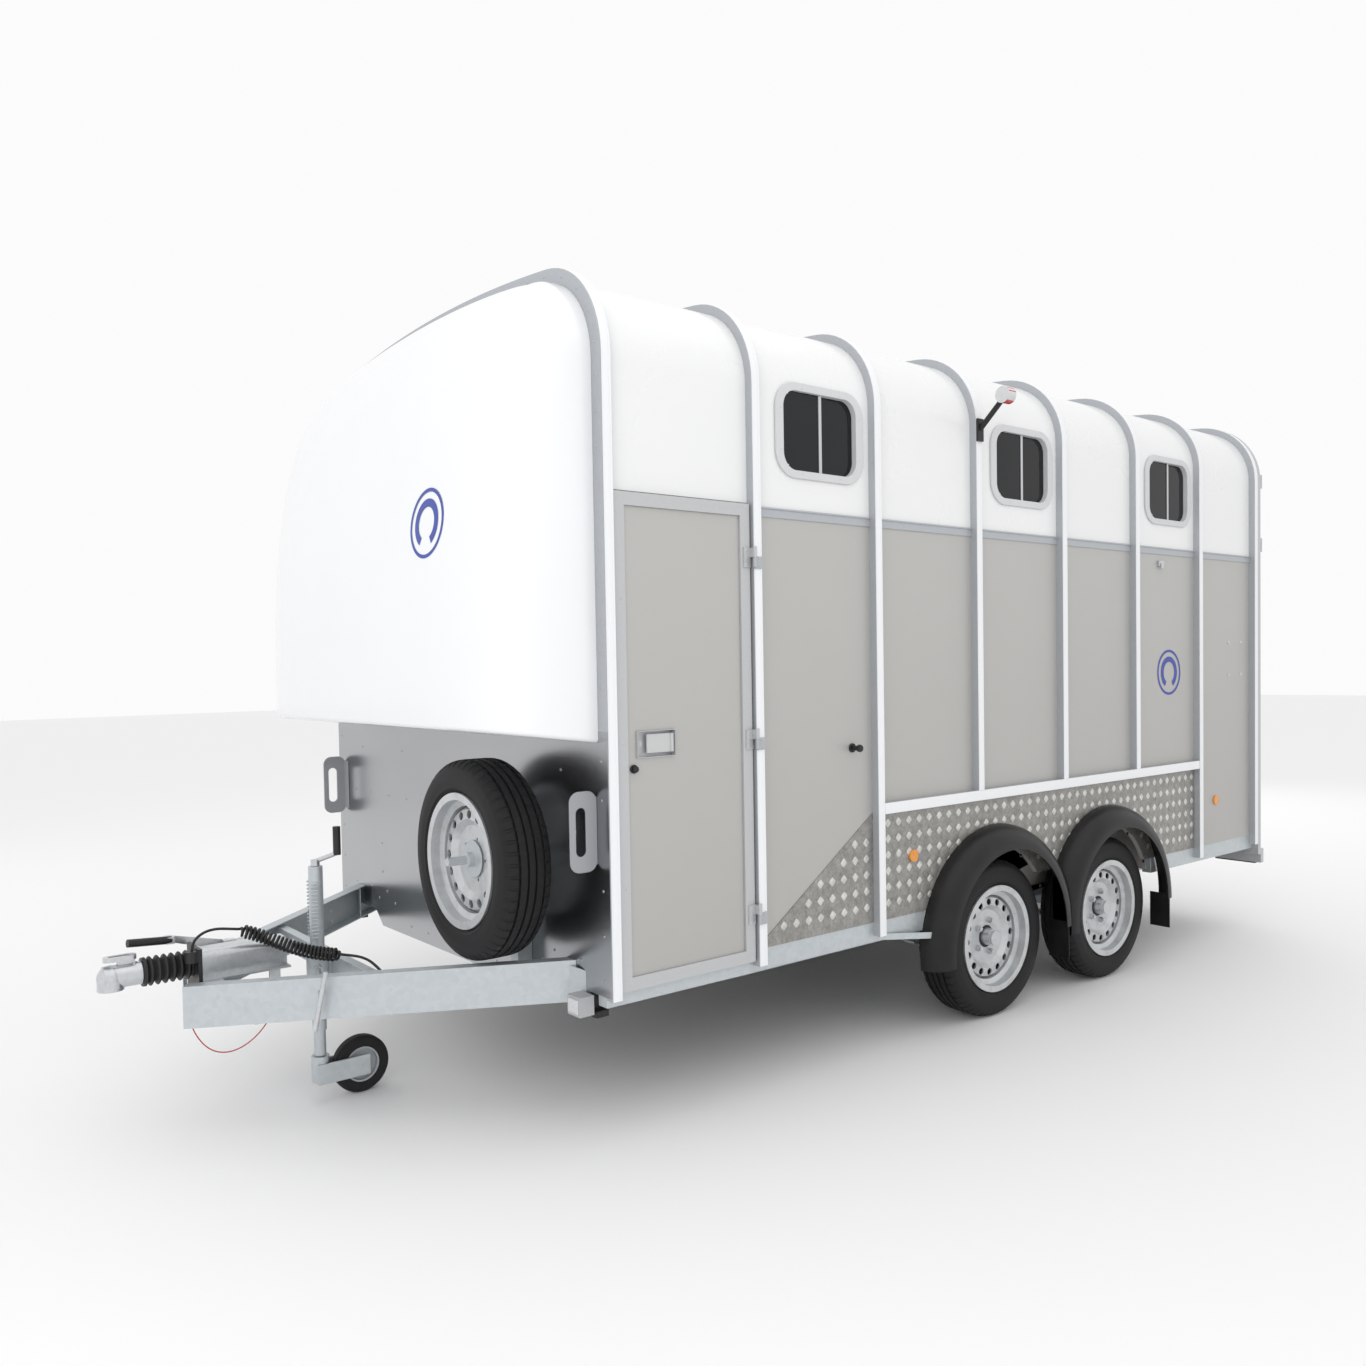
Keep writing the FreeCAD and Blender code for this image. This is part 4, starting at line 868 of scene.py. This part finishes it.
def deck_rubber():
    paint, place = begin("deck covering")
    studs = place.node("TexVoronoi", None, {"Vector": place, "Scale": 60.0}, 0)
    dust = place.noise(3, 5, 0.6)
    return complete(paint, Base_Color=dust.blend((0.045, 0.045, 0.047), (0.10, 0.095, 0.085)),
                    Roughness=dust * 0.2 + 0.6, Normal=studs.bump(0.4, 0.002))


dressed("floor_deck", deck_rubber(), 0.001)
dressed("wheel_boxes", grey_sheet, 0.002)


# ------------------------------------------------------------------ windows
# Sliding windows: a grey plastic frame screwed to the skin, tinted toughened glass, and bright
# stiles where the panes meet.

window_grey = moulded("window frame", (0.62, 0.63, 0.64), 0.45)
stile_metal = anodised("window stile", (0.62, 0.63, 0.64), 0.3, 0.8)


def tinted_glass():
    paint, place = begin("tinted glass")
    haze = place.noise(3, 3)
    return complete(paint, Base_Color=haze.blend((0.006, 0.007, 0.008), (0.014, 0.015, 0.016)), Alpha=0.93,
                    Roughness=haze * 0.05 + 0.04, Specular_IOR_Level=0.3)


tinted = tinted_glass()
WINDOW_Z, SCREWS_Y, SCREWS_Z = 2.306, 0.2005, 0.152
window_middles = [bay * PITCH + (PITCH + POST_W) / 2 + 0.030 for bay in (1, 3, 5)]
frames = merged("window_frames")
ease(frames, 0.003)
for side in (1, -1):
    for middle in window_middles:
        for k in range(12):
            angle = 2 * math.pi * (k + 0.5) / 12
            c, s = math.cos(angle), math.sin(angle)
            y = middle + math.copysign(abs(c) ** 0.55, c) * SCREWS_Y
            z = WINDOW_Z + math.copysign(abs(s) ** 0.55, s) * SCREWS_Z
            dome(frames, at(side * 1.044, y, z), (side, 0, 0), 0.0048, 0.0022, 2, 10)
add_piece("window_frames_piece", frames, window_grey, "chassis", ["window_frames"])


def pane_coat(corners):
    """The stile's narrow bar is metal and the rest is glass."""
    return 1 if any(max(abs(c.y - m) for c in corners) < 0.0125 for m in window_middles) else 0


dressed("window_fixed_panes", [tinted, stile_metal], 0, pane_coat)
for hand in ("left", "right"):
    for number in (1, 2, 3):
        dressed(f"window_slider_{hand}_{number}", [tinted, stile_metal], 0, pane_coat)


# ------------------------------------------------------------------ groom door
# Aluminium-framed door with a recessed sheet, three leaf hinges on the second hoop, a dished
# paddle latch with a lock and a small black stop below it.

trim_metal = anodised("door section", (0.55, 0.56, 0.57), 0.36, 0.4)
door_frame = merged("groom_door_frame")
ease(door_frame, 0.0012)
for low in DOOR_HINGES:
    for dz in (0.010, 0.033, 0.056):
        dome(door_frame, at(1.059, 0.584, low + dz), (1, 0, 0), 0.0042, 0.002, 2, 10)
for z in (1.25, 0.80, 1.70):
    dome(door_frame, at(1.055, 0.0655, z), (1, 0, 0), 0.004, 0.0018, 2, 10)
add_piece("groom_door_frame_piece", door_frame, trim_metal, "groom_door",
          ["groom_door_frame"])
dressed("groom_door_leaf", grey_sheet, 0.001)
dressed("door_latch_paddle", moulded("latch paddle", (0.55, 0.56, 0.56), 0.3, 0.2), 0.0015)
door_bits = bmesh.new()
bar(door_bits, at(1.030, 0.140, 1.2455), at(1.036, 0.140, 1.2455), 0.011, 24, 0.001)
block(door_bits, at(1.036, 0.1385, 1.238), at(1.0375, 0.1415, 1.253), 0.0005)
add_piece("door_lock", door_bits, bright_zinc, "groom_door")
knob = bmesh.new()
bar(knob, at(1.047, 0.108, 1.170), at(1.053, 0.108, 1.170), 0.014, 24, 0.0015)
bar(knob, at(1.053, 0.108, 1.170), at(1.064, 0.108, 1.170), 0.0105, 24, 0.003)
add_piece("door_stop", knob, black_rubber, "groom_door")


# ------------------------------------------------------------------ back end
# Aluminium-framed back: two upper doors on strap hinges and a ramp with inner battens. The
# ramp's skin is the grey sheet and the doors are white like the roof.

SIDES = {"left": 1, "right": -1}
REAR_HINGES = (2.0784, 2.4224)
dressed("rear_frame", trim_metal, 0.0015)
for hand, side in SIDES.items():
    door = merged("rear_door_" + hand)
    for face in door.faces:
        face.material_index = 1 if face.calc_center_median().y - body_front > BODY_LEN + 0.0295 else 0
    ease(door, 0.0012)
    for low in REAR_HINGES:
        for x in (0.895, 0.945):
            dome(door, at(side * x, BODY_LEN + 0.0365, low + 0.0146), (0, 1, 0), 0.006, 0.003)
    side_block(door, side, (0.012, 0.052), (BODY_LEN + 0.0285, BODY_LEN + 0.034), (1.80, 1.94), 0.0015)
    bar(door, at(side * 0.032, BODY_LEN + 0.033, 1.83), at(side * 0.032, BODY_LEN + 0.033, 1.91),
        0.005, 16, 0.001)
    add_piece(f"rear_door_{hand}_piece", door, [white_skin, trim_metal], "rear_door_" + hand,
              ["rear_door_" + hand])
dressed("rear_ramp", [grey_sheet, trim_metal, black_rubber], 0.0015,
        lambda corners: 2 if mean(c.y for c in corners) < BODY_LEN - 0.0005
        else 1 if mean(c.y for c in corners) > BODY_LEN + 0.0287 else 0)
for hand in ("left", "right"):
    dressed("ramp_latch_" + hand, bright_zinc, 0.0015)
dressed("centre_partition", [trim_metal, grey_sheet], 0.0015,
        lambda corners: 1 if all(abs(abs(c.x) - 0.012) < 0.0005 for c in corners) else 0)


# ------------------------------------------------------------------ wheels and tyres
# Steel-belted road tyres with four round grooves and notched shoulders, on silver-lacquered
# steel rims with sixteen vent holes, five nuts and a hub cap over the drum.

def tyre_compound():
    paint, place = begin("tyre compound")
    bloom = place.noise(7, 5, 0.6)
    return complete(paint, Base_Color=bloom.blend((0.008, 0.008, 0.009), (0.019, 0.019, 0.020)),
                    Specular_IOR_Level=0.25, Roughness=bloom * 0.15 + 0.5,
                    Normal=place.noise(420, 2).bump(0.12, 0.0006))


tyre_black = tyre_compound()
flank = [(0.075, 0.205), (0.0755, 0.221), (0.079, 0.228), (0.0845, 0.233), (0.0875, 0.238), (0.0868, 0.243),
         (0.0882, 0.256), (0.0884, 0.268), (0.0872, 0.281), (0.0848, 0.292), (0.0850, 0.295), (0.0822, 0.303),
         (0.0765, 0.312), (0.0695, 0.3195), (0.0620, 0.3242), (0.0540, 0.3266), (0.0480, 0.3273),
         (0.0472, 0.3200), (0.0400, 0.3200), (0.0392, 0.3278), (0.0180, 0.3280), (0.0172, 0.3205),
         (0.0100, 0.3205), (0.0092, 0.3280)]
lining = [(-0.062, 0.205), (-0.064, 0.298), (0.064, 0.298), (0.062, 0.205)]
tyre_profile = flank + [(-x, r) for x, r in reversed(flank)] + lining


NOTCHES = 56


def tyre(name, hub, facing, body, node, turned):
    """A tyre about an axle through hub, with notches round each shoulder."""
    form = bmesh.new()
    side = Vector(facing)
    up = Vector((0, 0, 1))
    fore = side.cross(up)
    rings = []
    for pitch in range(NOTCHES):
        for share, notch in ((0.0, 0), (0.66, 0), (0.71, 1), (0.95, 1)):
            angle = turned + 2 * math.pi * (pitch + share) / NOTCHES
            arm = up * math.cos(angle) + fore * math.sin(angle)
            ring = []
            for x, r in tyre_profile:
                cut = 0.0035 if notch and r > 0.3115 and abs(x) > 0.0475 else 0.0
                cut = 0.0022 if notch and not cut and r > 0.3270 and abs(x) > 0.018 else cut
                ring.append(form.verts.new(hub + side * x + arm * (r - cut)))
            rings.append(ring)
    skin(form, rings, wrapped=True)
    bmesh.ops.recalc_face_normals(form, faces=form.faces)
    add_piece(name, form, tyre_black, body, [node], 38)


def wheel_lacquer():
    paint, place = begin("silver wheel lacquer")
    grime = place.noise(16, 5, 0.65)
    colour = grime.steps((0.45, 0.0), (0.8, 1.0)).blend((0.60, 0.615, 0.63), (0.44, 0.44, 0.44))
    return complete(paint, Base_Color=colour, Metallic=0.55, Roughness=grime * 0.2 + 0.28,
                    Coat_Weight=0.15)


wheel_silver = wheel_lacquer()
# The dark drum coat is the drum's own dark colour, and is also painted shade on each rim's inner well and on
# two dark rings in each wheel.
drum_and_shade_dark = moulded("brake drum and painted shade", (0.022, 0.022, 0.024), 0.6)
for place_name, axle in AXLES.items():
    for hand, side in SIDES.items():
        body = f"wheel_{place_name}_{hand}"
        node = f"tyre_{place_name}_{hand}"
        hub = at(side * 0.970, axle, AXLE_Z)
        tyre(node + "_piece", hub, (side, 0, 0), body, node, 0.3 * axle)
        wheel = merged(body)
        for face in wheel.faces:
            offs = [vertex.co - hub for vertex in face.verts]
            reach = max(math.hypot(off.y, off.z) for off in offs)
            out = mean(off.x * side for off in offs)
            drum = out < 0.0185 and reach < 0.1135
            stud = out > 0.0245 and 0.055 < reach < 0.086
            # Faces of the rim's inner well take the dark drum coat: painted shade.
            shaded_barrel = out < 0.010 and reach < 0.1785
            cap = out > 0.021 and reach < 0.0375
            face.material_index = 1 if drum or shaded_barrel else 2 if stud or cap else 0
        ease(wheel, 0.0012, 30)
        # Two dark rings in the drum coat are painted shade: one behind the vent holes, one in the gap round the
        # hub spigot.
        for depth, inner, outer in ((0.0050, 0.112, 0.1745), (0.0245, 0.036, 0.047)):
            rims = [[wheel.verts.new(hub + Vector((side * depth, r * math.cos(math.pi * k / 24),
                                                   r * math.sin(math.pi * k / 24)))) for k in range(48)]
                    for r in (inner, outer)]
            for k in range(48):
                j = (k + 1) % 48
                quad = (rims[0][k], rims[1][k], rims[1][j], rims[0][j])
                wheel.faces.new(quad if side > 0 else quad[::-1]).material_index = 1
        for k in range(5):
            angle = 2 * math.pi * k / 5
            spot = hub + Vector((side * 0.040, 0.070 * math.cos(angle), 0.070 * math.sin(angle)))
            bar(wheel, spot, spot + Vector((side * 0.006, 0, 0)), 0.0085, 16, 0.002)
        add_piece(body + "_piece", wheel, [wheel_silver, drum_and_shade_dark, bright_zinc], body,
                  [body], 38)
spare_hub = at(0.575, -0.176, 0.868)
tyre("spare_tyre_piece", spare_hub, (0, -1, 0), "chassis", "spare_tyre", 0.2)
dressed("spare_rim", wheel_silver, 0.0012)


# ------------------------------------------------------------------ mudguards
# Black moulded guards, rounded over at the outer edge, each with a flap hanging behind. Flat
# galvanised stays reach back to the front guards.

GUARD_R = 0.392
GUARD_SPLIT = mean(AXLES.values())
GUARD_GAP = 0.002
guards = bmesh.new()
crest = [(1.0385 + 0.0995 * math.sin(math.pi / 20 * i), 0.004 + 0.084 * math.cos(math.pi / 20 * i))
         for i in range(11)]
under = [(x - 0.0045 * math.sin(math.pi / 20 * i), z - 0.0045 * math.cos(math.pi / 20 * i))
         for i, (x, z) in enumerate(crest)]
shape = crest + [(1.1385, -0.010), (1.1335, -0.010)] + under[::-1]
for side in (1, -1):
    for axle in AXLES.values():
        middle = at(0, axle, AXLE_Z)
        rings = []
        for step in range(61):
            angle = math.radians(-96 + 186 * step / 60)
            ring = []
            for x, r in shape:
                y = axle + math.sin(angle) * (GUARD_R + r)
                y = min(y, GUARD_SPLIT - GUARD_GAP) if axle < GUARD_SPLIT else max(y, GUARD_SPLIT + GUARD_GAP)
                z = AXLE_Z + math.cos(angle) * (GUARD_R + r)
                ring.append(guards.verts.new(at(side * x, y, z)))
            rings.append(ring)
        skin(guards, rings)
        guards.faces.new(rings[0])
        guards.faces.new(rings[-1])
        side_block(guards, side, (1.0385, 1.1380), (axle + 0.3915, axle + 0.3965), (0.186, 0.350), 0.0015)
        for angle in (-50, -10, 30, 62):
            turn = math.radians(angle)
            foot = middle + Vector((side * 1.0385, math.sin(turn) * 0.374, math.cos(turn) * 0.374))
            dome(guards, foot, (side, 0, 0), 0.009, 0.005)
bmesh.ops.recalc_face_normals(guards, faces=guards.faces)
stays = bmesh.new()
for side in (1, -1):
    ends = [Vector((1.030, 1.235, 0.452)), Vector((1.090, 1.572, 0.415))]
    along_stay = (ends[1] - ends[0]).normalized()
    across = along_stay.cross(Vector((0, 0, 1))).normalized() * 0.0025
    depth = Vector((0, 0, 0.012))
    around = ((across, depth), (across, -depth), (-across, -depth), (-across, depth))
    outline = [end + a + d for end in ends for a, d in around]
    corners = [stays.verts.new(at(side * p.x, p.y, p.z)) for p in outline]
    for quad in ((0, 1, 2, 3), (7, 6, 5, 4), (0, 4, 5, 1), (1, 5, 6, 2), (2, 6, 7, 3), (3, 7, 4, 0)):
        stays.faces.new([corners[i] for i in quad])
bmesh.ops.recalc_face_normals(stays, faces=stays.faces)
add_piece("guard_stays", stays, zinc_coat, "chassis")
guard_black = rubber("moulded guard", 0.007, 0.34)
add_piece("mudguards_piece", guards, guard_black, "chassis", ["mudguards"], 40)


# ------------------------------------------------------------------ lamps and reflectors
# Outline markers on bent rubber arms, clear front position lamps on rubber feet, amber side
# reflectors, and rear clusters with red triangles.

def lens(name, tone, deep):
    """Moulded acrylic with a fine prism pattern that catches the light."""
    paint, place = begin(name)
    prism = place.node("TexVoronoi", None, {"Vector": place, "Scale": 260.0}, 0)
    return complete(paint, Base_Color=prism.blend(tone, deep), Roughness=prism * 0.1 + 0.12, Coat_Weight=0.6,
                    Normal=prism.bump(0.35, 0.001))


clear_lens = lens("clear lens", (0.72, 0.73, 0.74), (0.5, 0.51, 0.53))
amber_lens = lens("amber lens", (0.86, 0.36, 0.03), (0.62, 0.20, 0.01))
red_lens = lens("red lens", (0.62, 0.03, 0.03), (0.36, 0.01, 0.012))
lamp_grey = moulded("lamp body", (0.42, 0.43, 0.44), 0.4)


def lamp_coat(corners):
    """Which of the lamps' coats a face has, by where it is on the trailer."""
    middle = sum(corners, Vector()) / len(corners)
    if middle.z > 2.30:
        lamp = math.hypot(abs(middle.x) - 1.196, middle.z - 2.536) < 0.0335
        return (4 if middle.y < 3 * PITCH + 0.019 else 3) if lamp else 0
    if 0.70 < middle.z < 0.78:
        return 2
    if middle.y > BODY_LEN + 0.06:
        outer = abs(middle.x) > 0.79
        return 3 if not outer or middle.y > BODY_LEN + 0.0875 else 0
    if middle.y < -0.0085:
        return 1
    return 0


dressed("lamps", [black_rubber, lamp_grey, amber_lens, red_lens, clear_lens], 0.0025, lamp_coat)
signals = bmesh.new()
for side in (1, -1):
    side_block(signals, side, (0.912, 0.968), (-0.0655, -0.0615), (0.412, 0.458), 0.0018)
    for low, high, coat in ((0.806, 0.872, 1), (0.876, 0.942, 2), (0.946, 1.014, 1)):
        before = len(signals.faces)
        side_block(signals, side, (low, high), (BODY_LEN + 0.0885, BODY_LEN + 0.0925), (0.348, 0.432), 0.0015)
        signals.faces.ensure_lookup_table()
        for face in signals.faces[before:]:
            face.material_index = coat
add_piece("lamp_lenses", signals, [clear_lens, red_lens, amber_lens], "chassis")


# ------------------------------------------------------------------ overrun hitch
# Cast housing under a pressed zinc cover, draw tube with a rubber gaiter, pressed-steel ball
# coupling with a lift handle, and the parking brake lever with its moulded grip.

dressed("overrun_housing", [bright_zinc, rubber("black bracket", 0.02, 0.4)], 0.003,
        lambda corners: 1 if mean(c.y for c in corners) < -0.9245 else 0)
dressed("coupling_head", bright_zinc, 0.003)
dressed("coupling_handle", bright_zinc, 0.004)
dressed("draw_tube", bright_zinc, 0.001)

gaiter = bmesh.new()
start, end, folds = -1.088, -0.938, 6
DRAW_Z = 0.540
fold_length = (end - start) / folds - 0.0028
fold_profile = [(start, 0.027), (start, 0.0455), (start + 0.010, 0.0465), (start + 0.012, 0.041)]
for fold in range(folds):
    base = start + 0.013 + fold * fold_length
    for share in range(8):
        swing = 0.5 - 0.5 * math.cos(2 * math.pi * share / 8)
        fold_profile.append((base + fold_length * share / 8, 0.035 + 0.0125 * swing ** 0.8))
fold_profile += [(end - 0.004, 0.038), (end, 0.039), (end, 0.027)]
around = [(math.cos(2 * math.pi * k / 48), math.sin(2 * math.pi * k / 48)) for k in range(48)]
skin(gaiter, [[gaiter.verts.new(at(r * c, y, DRAW_Z + r * s)) for c, s in around] for y, r in fold_profile],
     wrapped=True)
bmesh.ops.recalc_face_normals(gaiter, faces=gaiter.faces)
gaiter_piece = add_piece("draw_gaiter", gaiter, black_rubber, body_of_node["draw_bellows"],
                         ["draw_bellows"], 60)
tuple(at(0, end, DRAW_Z))
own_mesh(gaiter_piece)

dressed("handbrake_lever", [bright_zinc, black_rubber], 0.002,
        lambda corners: 1 if mean(c.y for c in corners) < -1.001 or min(c.y for c in corners) < -1.05 else 0)


# ------------------------------------------------------------------ jockey wheel
# Galvanised telescopic jockey: serrated outer tube, inner screw tube, cranked handle with a
# dark grip, a castor fork and a solid rubber wheel. A bent bar tightens its clamp.

outer_tube = merged("jockey_outer_tube")
ease(outer_tube, 0.0012)
for k in range(16):
    z = 0.575 + k * 0.0125
    bar(outer_tube, at(0.0785, -0.5635, z), at(0.0935, -0.5445, z + 0.004), 0.0030, 10, 0.001)
    bar(outer_tube, at(0.0255, -0.5435, z), at(0.0415, -0.5635, z + 0.004), 0.0034, 10, 0.001)
add_piece("jockey_outer_tube_piece", outer_tube, zinc_coat, "jockey_tube",
          ["jockey_outer_tube"])
dressed("jockey_inner_tube", zinc_coat, 0.001)
dressed("jockey_crank", [bright_zinc, rubber("crank grip", 0.02, 0.4)], 0.002,
        lambda corners: 1 if mean(c.z for c in corners) > 0.8555
        and max(math.hypot(c.x - 0.097, c.y + 0.476) for c in corners) < 0.0135 else 0)
dressed("jockey_fork", zinc_coat, 0.002)


def jockey_coat(corners):
    """The small wheel's rim is plastic, and its tread and the tread's shoulders are rubber."""
    reach = mean(math.hypot(c.y + 0.398, c.z - 0.100) for c in corners)
    shoulder = reach > 0.0615 and mean(abs(c.x - 0.060) for c in corners) > 0.0225
    return 1 if shoulder or reach > 0.064 else 0


dressed("jockey_wheel", [moulded("jockey rim", (0.40, 0.42, 0.44), 0.4), tyre_black], 0.0015, jockey_coat)
dressed("clamp_lever", bright_zinc, 0.003)
